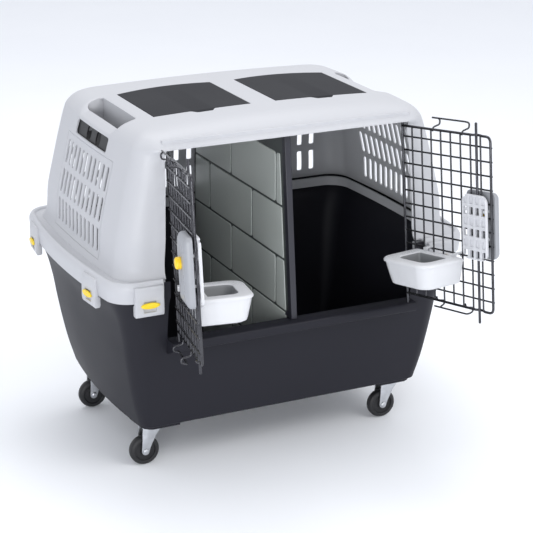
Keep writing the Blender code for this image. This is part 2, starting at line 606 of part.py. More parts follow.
def hook_paths(up):
    """A retaining hook's bar, which ends in one leg, and its other leg."""
    w_far, w_near = 3 * W_STEP, 6 * W_STEP
    bar_out = 0.0200 if up else 0.0130

    def leg(w):
        return [(w, HOOK_UP - 0.0018, bar_out + 0.0035), (w, 0.0140, HOOK_OUT),
                (w, 0.0065, HOOK_OUT - 0.0009), (w, 0.0030, HOOK_N + 0.0020), (w, -0.0050, HOOK_N)]
    bar = [(w_far - 0.0160, HOOK_UP, bar_out), (w_near - 0.0060, HOOK_UP, bar_out)] + leg(w_near)
    short = [(w_far, HOOK_UP, bar_out)] + leg(w_far)
    return [[(w, DOOR_H + v if up else -v, out) for w, v, out in path] for path in (bar, short)]


HOUSE_W, HOUSE_V = (0.1740, 0.2505), (0.1050, 0.2350)
BUTTON_W, BUTTON_V, BUTTON_R, BUTTON_SINK = 0.2120, 0.1840, 0.0112, 0.0005
PLATE_W, PLATE_V, RIBS = (0.1760, 0.2440), (0.1000, 0.2300), 9
BOWL_W, BOWL_N, BOWL_V = (0.0480, 0.1850), (-0.0138, -0.1180), (0.0510, 0.1030)
BOWL_HOOKS, HOOK_TAB_W, BOWL_WALL = (0.0690, 0.1515), 0.0100, 0.0022


def rib_profile():
    """(v, n) outline of the inner plate: flat towards the wires, ribbed inside."""
    pitch = (PLATE_V[1] - PLATE_V[0]) / RIBS
    outline = [(PLATE_V[0], -0.0048), (PLATE_V[0], -0.0080)]
    for k in range(RIBS):
        middle = PLATE_V[0] + (k + 0.5) * pitch
        outline += [(middle - 0.28 * pitch, -0.0112), (middle + 0.28 * pitch, -0.0112)]
        if k < RIBS - 1:
            outline.append((middle + pitch / 2, -0.0088))
    return outline + [(PLATE_V[1], -0.0080), (PLATE_V[1], -0.0048)]


def bowl_section(v, inset_w, inset_front, inset_back, c):
    """Plan of the bowl at one height, straight at the door and round towards the room."""
    w0, w1 = BOWL_W[0] + inset_w, BOWL_W[1] - inset_w
    n0, n1 = BOWL_N[0] - inset_back, BOWL_N[1] + inset_front
    outline = [(w0 + c * 0.3, n0), (w0, n0 - c * 0.3), (w0, n1 + c), (w0 + c * 0.45, n1 + c * 0.35),
               (w0 + c, n1), (w1 - c, n1), (w1 - c * 0.45, n1 + c * 0.35), (w1, n1 + c),
               (w1, n0 - c * 0.3), (w1 - c * 0.3, n0)]
    return [(w, v, n) for w, n in outline]


def bolt_profile(length):
    return [(0.0, length), (BOLT_R * 0.6, length), (BOLT_R, length - 0.0015), (BOLT_R, 0.0), (0.0, 0.0)]


for side, tag in SIDES:
    hinge = empty("door_hinge_" + tag, frame, (side * HINGE_X, HINGE_Y, HINGE_Z),
                  (-LEAN, 0, side * DOOR_OPEN))

    def local(points):
        """(w, v, n) points in the door's own axes."""
        return [(-side * w, -n, v) for w, v, n in points]

    def spread(name, outline_vn, w0, w1):
        """An outline in v and n, extruded across the door."""
        low, high = sorted((-side * w0, -side * w1))
        return prism(name, [[(-n, v) for v, n in outline_vn]], "x", low, high)

    uprights = [local([(k * W_STEP, 0.0, UPRIGHT_N), (k * W_STEP, DOOR_H, UPRIGHT_N)])
                for k in range(1, UPRIGHTS + 1)]
    crosses = [local([(0.0, END_WIRE + k * V_STEP, CROSS_N), (DOOR_W, END_WIRE + k * V_STEP, CROSS_N)])
               for k in range(CROSS_WIRES)]
    rod = local([(0, -BOLT_OUT, 0), (0, DOOR_H + BOLT_OUT, 0)])
    grid = part("door_grid_" + tag, wires("door_grid", uprights, WIRE_R, 0), COATED_WIRE, hinge, smooth=60)
    combine(grid, wires("cross_wires", crosses, WIRE_R, 0), "UNION")
    combine(grid, wires("door_frame", [local(frame_path())], FRAME_R, 1), "UNION")
    combine(grid, wires("hinge_rod", [rod], FRAME_R, 1), "UNION")
    for up, level in ((True, "upper"), (False, "lower")):
        bar, leg = hook_paths(up)
        hook = part("door_hook_" + level + "_" + tag, wires("door_hook", [local(bar)], WIRE_R, 0),
                    COATED_WIRE, hinge, smooth=60)
        combine(hook, wires("hook_leg", [local(leg)], WIRE_R, 0), "UNION")

    sections = []
    for out, inset, radius in ((0.0056, 0.0, 0.0100), (0.0120, 0.0, 0.0100), (0.0185, 0.0030, 0.0090),
                               (0.0225, 0.0085, 0.0080)):
        outline = rounded(HOUSE_W[0] + inset, HOUSE_W[1] - inset, HOUSE_V[0] + inset * 1.6,
                          HOUSE_V[1] - inset * 1.6, radius, 4)
        sections.append(local([(w, v, out) for w, v in outline]))
    housing = part("latch_housing_" + tag, lofted("latch_housing", sections), LATCH_PLASTIC, hinge,
                   smooth=35)
    well = local([(BUTTON_W, BUTTON_V, 0.0), (BUTTON_W, BUTTON_V, 0.0400)])
    combine(housing, rods("button_well", BUTTON_R + BUTTON_SINK, 16, [well]), "DIFFERENCE")

    plate = part("latch_inner_plate_" + tag, spread("latch_inner_plate", rib_profile(), *PLATE_W),
                 BOWL_PLASTIC, hinge)
    posts = [local([(w, v, -0.0060), (w, v, 0.0052)]) for w in (0.1830, 0.2330) for v in (0.1440, 0.1990)]
    combine(plate, rods("screw_posts", 0.0030, 8, posts), "UNION")

    # The button's own z points out of the door
    knob = [(0.0, 0.0193), (BUTTON_R - 0.0025, 0.0193), (BUTTON_R, 0.0168), (BUTTON_R, 0.0), (0.0, 0.0)]
    button = part("door_button_" + tag, profile_mesh("door_button", knob), BUTTON_PLASTIC, hinge,
                  local([(BUTTON_W, BUTTON_V, 0.0142)])[0])
    button.rotation_euler.x = math.pi / 2
    turn_profile(button, 16)

    for name, start, length, turn in (("bolt_upper_", 0.2000, DOOR_H + BOLT_OUT - 0.2000, 0.0),
                                      ("bolt_lower_", 0.1350, 0.1350 + BOLT_OUT, math.pi)):
        bolt = part(name + tag, profile_mesh("bolt", bolt_profile(length)), BOLT_STEEL, hinge,
                    local([(BOLT_W, start, BOLT_N)])[0])
        bolt.rotation_euler.x = turn
        turn_profile(bolt, 10)

    levels = ((BOWL_V[0], 0.004, 0.004, 0.0, 0.022), (BOWL_V[1] - 0.0020, 0.0, 0.0, 0.0, 0.024),
              (BOWL_V[1], 0.002, 0.002, 0.002, 0.023), (BOWL_V[1] - 0.0010, 0.034, 0.028, 0.020, 0.012),
              (BOWL_V[1] - 0.0035, 0.0365, 0.0305, 0.0225, 0.011),
              (BOWL_V[0] + 0.0060, 0.042, 0.036, 0.028, 0.009))
    bm, rows = loft([local(bowl_section(*level)) for level in levels], capped=False)
    bm.faces.new(rows[-1])
    bowl = part("bowl_" + tag, mesh_of(bm, "bowl"), BOWL_PLASTIC, hinge, smooth=35)
    wall(bowl, BOWL_WALL)
    cross_v = END_WIRE + 3 * V_STEP
    tab = [(cross_v - 0.0054, 0.0080), (cross_v - 0.0054, 0.0057), (cross_v + 0.0024, 0.0057),
           (cross_v + 0.0024, -0.0128), (cross_v - 0.0060, -0.0128), (cross_v - 0.0060, -0.0155),
           (cross_v + 0.0044, -0.0155), (cross_v + 0.0044, 0.0080)]
    for w in BOWL_HOOKS:
        combine(bowl, spread("bowl_hook", tab, w, w + HOOK_TAB_W), "UNION")

# Flap latches: hinged at the top of the skirt, hooked under it, each with its slider.
# In a latch's own axes x runs along the rim, y outwards and z up from its hinge.
FLAP_HINGE = (0.0030, SKIRT_Z + 0.0331)
LENS = [(0.0190 * math.cos(a), 0.0060 * math.sin(a)) for a in
        (math.radians(t) for t in (0, 38, 69, 111, 142, 180, 218, 249, 291, 322))]
LENS_Z = SKIRT_Z - 0.0021


def flap_latch(tag, x, y, turn, proud):
    out0, z0 = FLAP_HINGE
    lift = SKIRT_Z
    outline = [(SEAT, lift + 0.0334), (proud - 0.0045, lift + 0.0334), (proud - 0.0008, lift + 0.0229),
               (proud, lift - 0.0131), (proud - 0.0030, lift - 0.0251), (-0.0020, lift - 0.0251),
               (-0.0042, lift - 0.0216), (-0.0042, lift - 0.0046), (SEAT, lift - 0.0021)]
    outline = [(a - out0, z - z0) for a, z in outline]
    foot = Vector((x, y, z0)) + Matrix.Rotation(turn, 3, "Z") @ Vector((0, out0, 0))
    plate = part("latch_plate_" + tag, prism("latch_plate", [outline], "x", -LATCH_W / 2, LATCH_W / 2),
                 SHELL_PLASTIC, frame, foot, turn)
    face = proud - out0
    combine(plate, boxes("latch_pocket", [((-0.0125, face - 0.0042, lift - 0.0161 - z0),
                                           (0.0125, face + 0.0100, lift + 0.0059 - z0))]), "DIFFERENCE")
    sections = [[(a * share, face + out, LENS_Z + b * share - z0) for a, b in LENS]
                for out, share in ((0.0004, 1.0), (0.0026, 1.0), (0.0040, 0.82))]
    slider = part("latch_slider_" + tag, lofted("latch_slider", sections), BUTTON_PLASTIC, plate)
    combine(slider, boxes("slider_foot", [((-0.0110, face - 0.0037, LENS_Z - 0.0040 - z0),
                                           (0.0110, face + 0.0015, LENS_Z + 0.0040 - z0))]), "UNION")


def end_x(y):
    return HX - RIM_BOW * (y / HY) ** 2


for sx, tag_x in SIDES:
    for sy, tag_y in ENDS:
        flap_latch(tag_y + "_" + tag_x, sx * LATCH_X, sy * HY, math.pi * (sy < 0), 0.0125)
        inner, outer = end_x(LATCH_Y - LATCH_W / 2), end_x(LATCH_Y + LATCH_W / 2)
        slant = math.atan((inner - outer) / LATCH_W)
        flap_latch("end_" + tag_x + "_" + tag_y, sx * (inner + outer) / 2, sy * LATCH_Y,
                   -sx * (math.pi / 2 - sy * slant), 0.0095)

# Swivel casters, all swung the same way
fork_outline = [(0.0170, 0.0), (-0.0200, 0.0), (-0.0225, -0.0142), (-0.0250, -0.0512),
                (-0.0230, -0.0580), (-0.0165, -0.0610), (-0.0100, -0.0580), (-0.0060, -0.0442),
                (0.0060, -0.0202), (0.0170, -0.0062)]
HUB_R, WEB_HALF, TREAD_IN, TREAD_HALF = 0.0105, 0.0062, 0.0215, 0.0062
wheel_line = [(AXLE_R + 0.0006, WHEEL_W / 2), (AXLE_R + 0.0006, -WHEEL_W / 2), (HUB_R, -WHEEL_W / 2),
              (HUB_R, -WEB_HALF), (TREAD_IN, -WEB_HALF), (TREAD_IN, -WHEEL_W / 2), (WHEEL_R, -TREAD_HALF),
              (WHEEL_R, TREAD_HALF), (TREAD_IN, WHEEL_W / 2), (TREAD_IN, WEB_HALF), (HUB_R, WEB_HALF),
              (HUB_R, WHEEL_W / 2)]
HEAD_Z, HEAD_R, HEAD_T = FORK_W / 2 + 0.0004, 0.0065, 0.0026
axle_line = [(0.0, HEAD_Z + HEAD_T), (HEAD_R - 0.0015, HEAD_Z + HEAD_T), (HEAD_R, HEAD_Z), (AXLE_R, HEAD_Z),
             (AXLE_R, -HEAD_Z), (HEAD_R, -HEAD_Z), (HEAD_R - 0.0015, -HEAD_Z - HEAD_T),
             (0.0, -HEAD_Z - HEAD_T)]
PLATE_R = 0.0225
plate_line = [(0.0, CASTER_TOP - FORK_Z), (PLATE_R, CASTER_TOP - FORK_Z), (PLATE_R, 0.0058),
              (PLATE_R - 0.0010, 0.0004), (STEM_R, 0.0004), (STEM_R, -0.0060), (0.0, -0.0060)]
for sx, tag_x in SIDES:
    for sy, tag_y in ENDS:
        tag = tag_y + "_" + tag_x
        stem = (sx * CASTER_X, sy * CASTER_Y, FORK_Z)
        turn_profile(part("caster_plate_" + tag, profile_mesh("caster_plate", plate_line), CASTER_BLACK,
                          frame, stem), 12)
        fork = part("caster_fork_" + tag,
                    prism("caster_fork", [fork_outline], "y", -FORK_W / 2, FORK_W / 2),
                    ZINC_STEEL, frame, stem)
        inside = FORK_W / 2 - FORK_T
        combine(fork, boxes("fork_gap", [((-0.060, -inside, -0.090), (0.060, inside, -0.0030))]),
                "DIFFERENCE")
        axle_at = (-TRAIL, 0, WHEEL_R - FORK_Z)
        holes = rods("fork_holes", STEM_R + 0.0006, 8, [((0, 0, -0.014), (0, 0, 0.016))])
        combine(fork, holes, "DIFFERENCE")
        holes = rods("axle_holes", AXLE_R + 0.0004, 8,
                     [((-TRAIL, -0.03, axle_at[2]), (-TRAIL, 0.03, axle_at[2]))])
        combine(fork, holes, "DIFFERENCE")
        wheel = part("caster_wheel_" + tag, profile_mesh("caster_wheel", wheel_line[::-1], True),
                     WHEEL_RUBBER, fork, axle_at)
        axle = part("caster_axle_" + tag, profile_mesh("caster_axle", axle_line), ZINC_STEEL,
                    fork, axle_at)
        for ob, steps in ((wheel, 16), (axle, 8)):
            ob.rotation_euler.x = math.pi / 2
            turn_profile(ob, steps)
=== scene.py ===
"""Double pet travel crate on four swivel casters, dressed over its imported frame.

Metres, +Z up, the doors look towards -Y.  The sections follow the crate as it
is put together: shell, tub, divider, handle liners, lids, doors, their latches,
bowls, flap latches and casters.
"""

import math

import bpy
import numpy as np
from mathutils import Matrix, Vector


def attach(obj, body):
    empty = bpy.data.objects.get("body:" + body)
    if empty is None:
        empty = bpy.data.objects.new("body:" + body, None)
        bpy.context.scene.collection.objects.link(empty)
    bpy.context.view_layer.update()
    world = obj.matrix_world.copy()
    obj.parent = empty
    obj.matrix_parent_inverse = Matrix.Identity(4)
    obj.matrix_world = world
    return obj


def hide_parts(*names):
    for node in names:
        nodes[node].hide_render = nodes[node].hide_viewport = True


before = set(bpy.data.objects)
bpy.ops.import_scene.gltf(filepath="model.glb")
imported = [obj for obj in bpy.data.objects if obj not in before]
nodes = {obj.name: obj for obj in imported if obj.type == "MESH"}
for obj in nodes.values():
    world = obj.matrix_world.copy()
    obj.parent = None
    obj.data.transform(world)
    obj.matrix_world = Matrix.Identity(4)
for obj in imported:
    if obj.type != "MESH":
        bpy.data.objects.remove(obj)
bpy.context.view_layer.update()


# Studio: a large soft light over the front, a softer one on
# the left and a weak one behind, seen through a long lens from front left.

def studio_light(name, place, aim, width, height, power, tint):
    """A rectangular soft light at place that faces aim."""
    data = bpy.data.lights.new(name, "AREA")
    data.shape = "RECTANGLE"
    data.size, data.size_y = width, height
    data.energy, data.color = power, tint
    lamp = bpy.data.objects.new(name, data)
    lamp.location = place
    lamp.rotation_euler = (Vector(aim) - Vector(place)).to_track_quat("-Z", "Y").to_euler()
    bpy.context.scene.collection.objects.link(lamp)


studio_light("key", (1.3, -2.6, 2.9), (0, 0, 0.35), 2.2, 1.6, 46, (1.0, 0.99, 0.97))
studio_light("fill", (-2.0, -2.8, 0.9), (0.1, 0, 0.45), 1.2, 1.0, 40, (0.98, 0.99, 1.0))
studio_light("top", (0.2, 1.2, 3.3), (0, 0.2, 0.4), 2.6, 2.0, 40, (1.0, 1.0, 1.0))

sky = bpy.data.worlds.new("studio")
sky.use_nodes = True
sky.node_tree.nodes["Background"].inputs["Color"].default_value = (0.93, 0.95, 1.0, 1)
sky.node_tree.nodes["Background"].inputs["Strength"].default_value = 0.90
bpy.context.scene.world = sky

VIEW_YAW, VIEW_PITCH, VIEW_ROLL = -24.668, 19.350, -0.180
camera_data = bpy.data.cameras.new("camera")
camera_data.sensor_width = 36.0
camera_data.lens = 1663.34 * 36.0 / 533.0
camera_data.shift_x = (266.5 - 253.97) / 533.0
camera_data.shift_y = (263.08 - 266.5) / 533.0
camera = bpy.data.objects.new("camera", camera_data)
camera.location = (-1.3583, -2.9144, 1.5007)
camera.rotation_euler = (Matrix.Rotation(math.radians(VIEW_YAW), 3, "Z")
                         @ Matrix.Rotation(math.radians(90 - VIEW_PITCH), 3, "X")
                         @ Matrix.Rotation(math.radians(VIEW_ROLL), 3, "Z")).to_euler()
bpy.context.scene.collection.objects.link(camera)
bpy.context.scene.camera = camera
bpy.context.scene.view_settings.view_transform = "Standard"


# Upper shell: one light grey polypropylene moulding with a skirt that grips the
# tub's rim, leaning vented walls, an overhanging brow above the doors and a
# crowned roof with two handle troughs.  It is held down by the eight latches.

class Signal:
    """A shader socket.  Sums, differences and products of signals add Math nodes."""

    def __init__(self, tree, socket):
        self.tree, self.socket = tree, socket

    def math(self, operation, *others):
        node = self.tree.nodes.new("ShaderNodeMath")
        node.operation = operation
        for socket, value in zip(node.inputs, (self, *others)):
            plug(self.tree, socket, value)
        return Signal(self.tree, node.outputs[0])

    def __add__(self, other):
        return self.math("ADD", other)

    def __sub__(self, other):
        return self.math("SUBTRACT", other)

    def __mul__(self, other):
        return self.math("MULTIPLY", other)

    __radd__, __rmul__ = __add__, __mul__


def plug(tree, socket, value):
    """Links a signal to a socket, or sets the socket to a plain value."""
    if isinstance(value, Signal):
        tree.links.new(value.socket, socket)
    else:
        socket.default_value = value


class Finish:
    """A Principled material; constants are set on the shader's own sockets."""

    def __init__(self, name, **constants):
        self.material = bpy.data.materials.new(name)
        self.material.use_nodes = True
        self.tree = self.material.node_tree
        self.shader = self.tree.nodes["Principled BSDF"]
        for socket, value in constants.items():
            self.shader.inputs[socket.replace("_", " ")].default_value = value
        self.place = self.node("TexCoord", {}, {}, "Object")
        self.normal = None

    def node(self, kind, settings, sockets, output=0):
        """A shader node of any kind: its settings first, then its sockets' values or links."""
        node = self.tree.nodes.new("ShaderNode" + kind)
        for name, value in settings.items():
            setattr(node, name, value)
        for name, value in sockets.items():
            plug(self.tree, node.inputs[name], value)
        return Signal(self.tree, node.outputs[output])

    def noise(self, scale, detail=3.0):
        return self.node("TexNoise", {}, {"Vector": self.place, "Scale": scale, "Detail": detail}, "Fac")

    def mix(self, share, low, high):
        """A colour between two colours."""
        return self.node("Mix", {"data_type": "RGBA"}, {0: share, 6: low, 7: high}, 2)

    def window(self, value, low, high):
        """0 below low, 1 above high and a smooth step between."""
        return self.node("MapRange", {"interpolation_type": "SMOOTHSTEP"},
                         {"Value": value, "From Min": low, "From Max": high}, "Result")

    def feed(self, **values):
        for name, value in values.items():
            plug(self.tree, self.shader.inputs[name.replace("_", " ")], value)

    def bump(self, *layers):
        """More bump on the bump so far; each layer is a signal and its depth in metres."""
        for height, depth in layers:
            sockets = {"Height": height, "Distance": depth, "Strength": 1.0}
            if self.normal:
                sockets["Normal"] = self.normal
            self.normal = self.node("Bump", {}, sockets)
        self.feed(Normal=self.normal)


def tone(red, green, blue):
    """A colour given as it looks on screen, 0 to 255, made linear."""
    linear = [((v / 255 + 0.055) / 1.055) ** 2.4 if v > 10 else v / 255 / 12.92 for v in (red, green, blue)]
    return (*linear, 1.0)


def moulded(name, colour, roughness, spread=0.06, grain=0.00006, grain_scale=1400.0, flow=0.00012, **constants):
    """Moulded plastic: spark-eroded grain, slow flow waves, blotchy gloss and faint shade changes."""
    finish = Finish(name, **constants)
    blotch = finish.noise(6.0, 4.0)
    fine = finish.noise(grain_scale, 2.0)
    light = tuple(min(1.0, c * (1 + spread)) for c in colour[:3]) + (1.0,)
    dark = tuple(c * (1 - spread) for c in colour[:3]) + (1.0,)
    finish.feed(Base_Color=finish.mix(blotch * 0.8 + fine * 0.2, dark, light),
                Roughness=blotch * 0.10 + fine * 0.06 + (roughness - 0.08))
    finish.bump((blotch, flow), (fine, grain))
    return finish


SET_BACK = 0.1076
HX, HY = 0.4000, 0.2743
SKIRT_Z, CHANNEL_Z, BROW_Z, ROOF_Z = 0.3931, 0.4290, 0.6724, 0.7045
ROOF_HX, ROOF_CROWN, SHELL_WALL = 0.2500, 0.0060, 0.0030
WALL_Z0 = CHANNEL_Z + 0.0040
WALL_RISE = BROW_Z - WALL_Z0

# Height, draw-in along x and y, corner radius, bow of the ends, brow forwards,
# dip of the roof edge at the handles, share of the crown, and pieces up to the next
SHELL_LEVELS = np.array((
    (SKIRT_Z, 0, 0, .0490, .0213, 0, 0, 0, 6),
    (SKIRT_Z + .0369, 0, 0, .0490, .0213, 0, 0, 0, 4),
    (SKIRT_Z + .0406, .0032, .0032, .0458, .0213, 0, 0, 0, 3),
    (SKIRT_Z + .0399, .0078, .0078, .0422, .0213, 0, 0, 0, 2),
    (CHANNEL_Z, .0100, .0100, .0410, .0213, 0, 0, 0, 3),
    (CHANNEL_Z, .0265, .0211, .0500, .0130, 0, 0, 0, 3),
    (WALL_Z0, .0300, .0243, .0500, .0110, 0, 0, 0, 16),
    (WALL_Z0 + .30 * WALL_RISE, .0412, .0291, .0495, .0110, 0, 0, 0, 14),
    (WALL_Z0 + .55 * WALL_RISE, .0545, .0335, .0490, .0108, 0, 0, 0, 14),
    (WALL_Z0 + .787 * WALL_RISE, .0685, .0373, .0480, .0104, 0, 0, 0, 10),
    (BROW_Z - .0090, .0800, .0416, .0468, .0101, .0004, .0008, 0, 4),
    (BROW_Z, .0832, .0428, .0465, .0100, .0079, .001, 0, 3),
    (BROW_Z + .0096, .0895, .0473, .0450, .0100, .0065, .006, 0, 4),
    (BROW_Z + .0191, .1000, .0553, .0420, .0095, .0035, .010, .10, 4),
    (BROW_Z + .0256, .1130, .0673, .0380, .0090, .0010, .012, .45, 4),
    (BROW_Z + .0296, .1300, .0843, .0340, .0080, 0, .004, .80, 4),
    (ROOF_Z, HX - ROOF_HX, .1063, .0300, .0070, 0, 0, 1.0, 0)))


def step(t):
    t = np.clip(t, 0.0, 1.0)
    return t * t * (3 - 2 * t)


def refined(levels, creases=()):
    """Rows between the given ones on cubic curves through them, kept sharp at the creases.

    Each column is a Hermite curve over the chord length of its first three
    columns; a row's slope is the mean of its two chords, weighted the other way."""
    values, counts = levels[:, :-1], levels[:, -1].astype(int)
    chord = np.linalg.norm(np.diff(values[:, :3], axis=0), axis=1)[:, None]
    slope = np.diff(values, axis=0) / chord
    rows = [values[:1]]
    for i, count in enumerate(counts[:-1]):
        def blend(k):
            if k in creases or k == 0 or k == len(values) - 1:
                return slope[i]
            return (slope[k - 1] * chord[k] + slope[k] * chord[k - 1]) / (chord[k] + chord[k - 1])
        t = (np.arange(1, count + 1) / count)[:, None]
        first, last, h = blend(i), blend(i + 1), chord[i]
        rows.append((2 * t ** 3 - 3 * t ** 2 + 1) * values[i] + (t ** 3 - 2 * t ** 2 + t) * h * first
                    + (3 * t ** 2 - 2 * t ** 3) * values[i + 1] + (t ** 3 - t ** 2) * h * last)
    return np.concatenate(rows)


def plan_rings(half_x, half_y, corner, bow, end_count=34, corner_count=12, side_count=44):
    """Closed rings, one a row, anticlockwise from the middle of the +X end.

    The end is x = half_x - bow (y / half_y)^2, the corner an arc from 8 to 90
    degrees that meets it, and the long side the straight line y = half_y."""
    half_x, half_y, corner, bow = (np.asarray(v, float).reshape(-1, 1) for v in (half_x, half_y, corner, bow))
    first = math.radians(8)
    join_y = half_y - corner + corner * math.sin(first)
    centre_x = half_x - bow * (join_y / half_y) ** 2 - corner * math.cos(first)
    y_end = join_y * np.arange(end_count) / end_count
    angle = np.linspace(first, math.pi / 2, corner_count + 1)[None, :]
    x_side = centre_x * (1 - np.arange(1, side_count + 1) / side_count)
    x = np.hstack((half_x - bow * (y_end / half_y) ** 2, centre_x + corner * np.cos(angle), x_side))
    y = np.hstack((y_end, half_y - corner + corner * np.sin(angle), half_y + 0 * x_side))
    x, y = np.hstack((x, -x[:, -2::-1])), np.hstack((y, y[:, -2::-1]))
    return np.hstack((x[:, :-1], -x[:, :-1])), np.hstack((y[:, :-1], -y[:, :-1]))


def grid_mesh(name, x, y, z, wrap=True, caps=()):
    """A mesh over a grid of points: rows of x, y, z, closed round each row if wrap.

    The rows that caps names are filled."""
    rows, columns = x.shape
    points = np.stack((x, y, z), axis=-1).reshape(-1, 3)
    index = np.arange(rows * columns).reshape(rows, columns)
    right = np.roll(index, -1, axis=1) if wrap else index[:, 1:]
    left = index if wrap else index[:, :-1]
    quads = np.stack((left[:-1], right[:-1], right[1:], left[1:]), axis=-1).reshape(-1, 4).tolist()
    if "first" in caps:
        quads.append(index[0][::-1].tolist())
    if "last" in caps:
        quads.append(index[-1].tolist())
    mesh = bpy.data.meshes.new(name)
    mesh.from_pydata(points.tolist(), [], quads)
    return mesh


def prism(name, outline, axis, low, high):
    """A closed outline in the two other axes, carried straight from low to high along an axis."""
    outline = np.asarray(outline, float)
    area = np.sum(outline[:, 0] * np.roll(outline[:, 1], -1) - outline[:, 1] * np.roll(outline[:, 0], -1))
    if (area < 0) != (axis == "y"):
        outline = outline[::-1]
    a, b = np.vstack([outline[:, 0]] * 2), np.vstack([outline[:, 1]] * 2)
    c = np.vstack((np.full(len(outline), low), np.full(len(outline), high)))
    order = {"x": (c, a, b), "y": (a, c, b), "z": (a, b, c)}[axis]
    return grid_mesh(name, *order, caps=("first", "last"))


def joined(name, meshes):
    """Several meshes as one."""
    points, faces, start = [], [], 0
    for mesh in meshes:
        co = np.empty(len(mesh.vertices) * 3)
        mesh.vertices.foreach_get("co", co)
        points += co.reshape(-1, 3).tolist()
        faces += [[start + i for i in face.vertices] for face in mesh.polygons]
        start += len(mesh.vertices)
        bpy.data.meshes.remove(mesh)
    mesh = bpy.data.meshes.new(name)
    mesh.from_pydata(points, [], faces)
    return mesh


def piece(name, mesh, finish, body=None, replaces=(), sharp=40.0):
    """A named piece with its finish; body is what it rides on, replaces the solids that it stands for."""
    ob = bpy.data.objects.new(name, mesh)
    bpy.context.scene.collection.objects.link(ob)
    if finish:
        mesh.materials.append(finish.material)
    mesh.shade_smooth()
    mesh.set_sharp_from_angle(angle=math.radians(sharp))
    if body:
        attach(ob, body)
        if replaces:
            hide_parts(*replaces)
    return ob


def cut(ob, mesh, operation="DIFFERENCE"):
    """Cuts or joins a mesh into a piece at once and takes the tool away."""
    tool = bpy.data.objects.new(mesh.name, mesh)
    bpy.context.scene.collection.objects.link(tool)
    change = ob.modifiers.new("change", "BOOLEAN")
    change.object, change.operation = tool, operation
    settle(ob)
    bpy.data.objects.remove(tool)


def settle(ob):
    """Applies the piece's modifiers and shades it again."""
    mesh = bpy.data.meshes.new_from_object(ob.evaluated_get(bpy.context.evaluated_depsgraph_get()))
    ob.modifiers.clear()
    old, ob.data = ob.data, mesh
    bpy.data.meshes.remove(old)
    mesh.shade_smooth()
    mesh.set_sharp_from_angle(angle=math.radians(40))


def solidified(ob, thickness):
    wall = ob.modifiers.new("wall", "SOLIDIFY")
    wall.thickness, wall.offset, wall.use_even_offset = thickness, -1.0, True
    settle(ob)


def eased_edges(ob, width, segments=2, angle=35.0):
    """Rounds the piece's sharp edges."""
    bevel = ob.modifiers.new("eased edges", "BEVEL")
    bevel.width, bevel.segments, bevel.limit_method = width, segments, "ANGLE"
    bevel.angle_limit = math.radians(angle)
    bevel.harden_normals = False
    return ob


def oval(a0, a1, b0, b1, radius, points=5):
    """A rectangle with round corners."""
    angle = np.linspace(0, math.pi / 2, points)
    centres = ((a1 - radius, b1 - radius), (a0 + radius, b1 - radius), (a0 + radius, b0 + radius),
               (a1 - radius, b0 + radius))
    return np.concatenate([np.stack((ca + radius * np.cos(angle + q * math.pi / 2),
                                     cb + radius * np.sin(angle + q * math.pi / 2)), axis=-1)
                           for q, (ca, cb) in enumerate(centres)])


def shell_points():
    """The shell's outer skin: plan rings by height, with brow, crown, handle dips and shallow fields.

    The brow stands forward between the doorway's ends, the roof's edge dips at
    the handles, the vent fields lie 1.2 mm deep and four low bosses rise on the brow."""
    z, in_x, in_y, corner, bow, brow, dip, crown = refined(SHELL_LEVELS, (0, 4, 5)).T
    x, y = plan_rings(HX - in_x, HY - in_y, corner, bow)
    z, brow, dip, crown = (v[:, None] + 0 * x for v in (z, brow, dip, crown))
    height = z + crown * ROOF_CROWN * np.clip(1 - (x / ROOF_HX) ** 2, 0, None)
    height -= dip * step((0.1022 - abs(y)) / 0.022) * step((abs(x) - 0.255) / 0.012)
    end = np.sign(x) * step((abs(x) - 0.30) / 0.02)
    field = step((0.1285 - abs(y)) / 0.0035) * step((z - 0.4415) / 0.0035) * step((0.6290 - z) / 0.0035)
    x = x - end * 0.0012 * field
    front = y < -0.10
    boss = sum(np.exp(-((abs(x) - at) / 0.0055) ** 2) for at in (0.040, 0.250))
    y = y - front * (brow * step((0.300 - abs(x)) / 0.030)
                     + 0.0014 * boss * np.exp(-((z - BROW_Z - 0.003) / 0.006) ** 2))
    jamb = step((0.2860 - abs(x)) / 0.002) * step((z - 0.437) / 0.004) * step((BROW_Z - 0.004 - z) / 0.006)
    y = y - front * jamb * 0.0010
    return x, y + SET_BACK, height


def roof_strips(ring_length, start):
    """Faces over the roof: each joins two neighbours of the last ring with the two opposite them."""
    i = np.arange(1, ring_length // 2 - 1)
    across = start + np.stack((i, i + 1, ring_length - i - 1, ring_length - i), axis=-1)
    half = ring_length // 2
    ends = [[start, start + 1, start + ring_length - 1], [start + half - 1, start + half, start + half + 1]]
    return across.tolist() + ends


SHELL = moulded("shell_plastic", tone(186, 187, 191), 0.42, spread=0.02, grain=0.00003, Specular_IOR_Level=0.35)

# A low moulded border round each end's vents, drawn in the shell's own bump
along, across, upward = (SHELL.node("SeparateXYZ", {}, {"Vector": SHELL.place}, axis) for axis in range(3))
BORDER_HY, BORDER_Z0, BORDER_Z1, BORDER_X, BORDER_DEPTH = 0.1300, 0.4405, 0.6320, 0.3050, 0.0022
vented = (SHELL.window((across - SET_BACK).math("ABSOLUTE"), BORDER_HY + .0010, BORDER_HY - .0010)
          * SHELL.window(upward, BORDER_Z0 - .0010, BORDER_Z0 + .0010)
          * SHELL.window(upward, BORDER_Z1 + .0010, BORDER_Z1 - .0010)
          * SHELL.window(along.math("ABSOLUTE"), BORDER_X - .0050, BORDER_X + .0050))
SHELL.bump((vented, -BORDER_DEPTH))

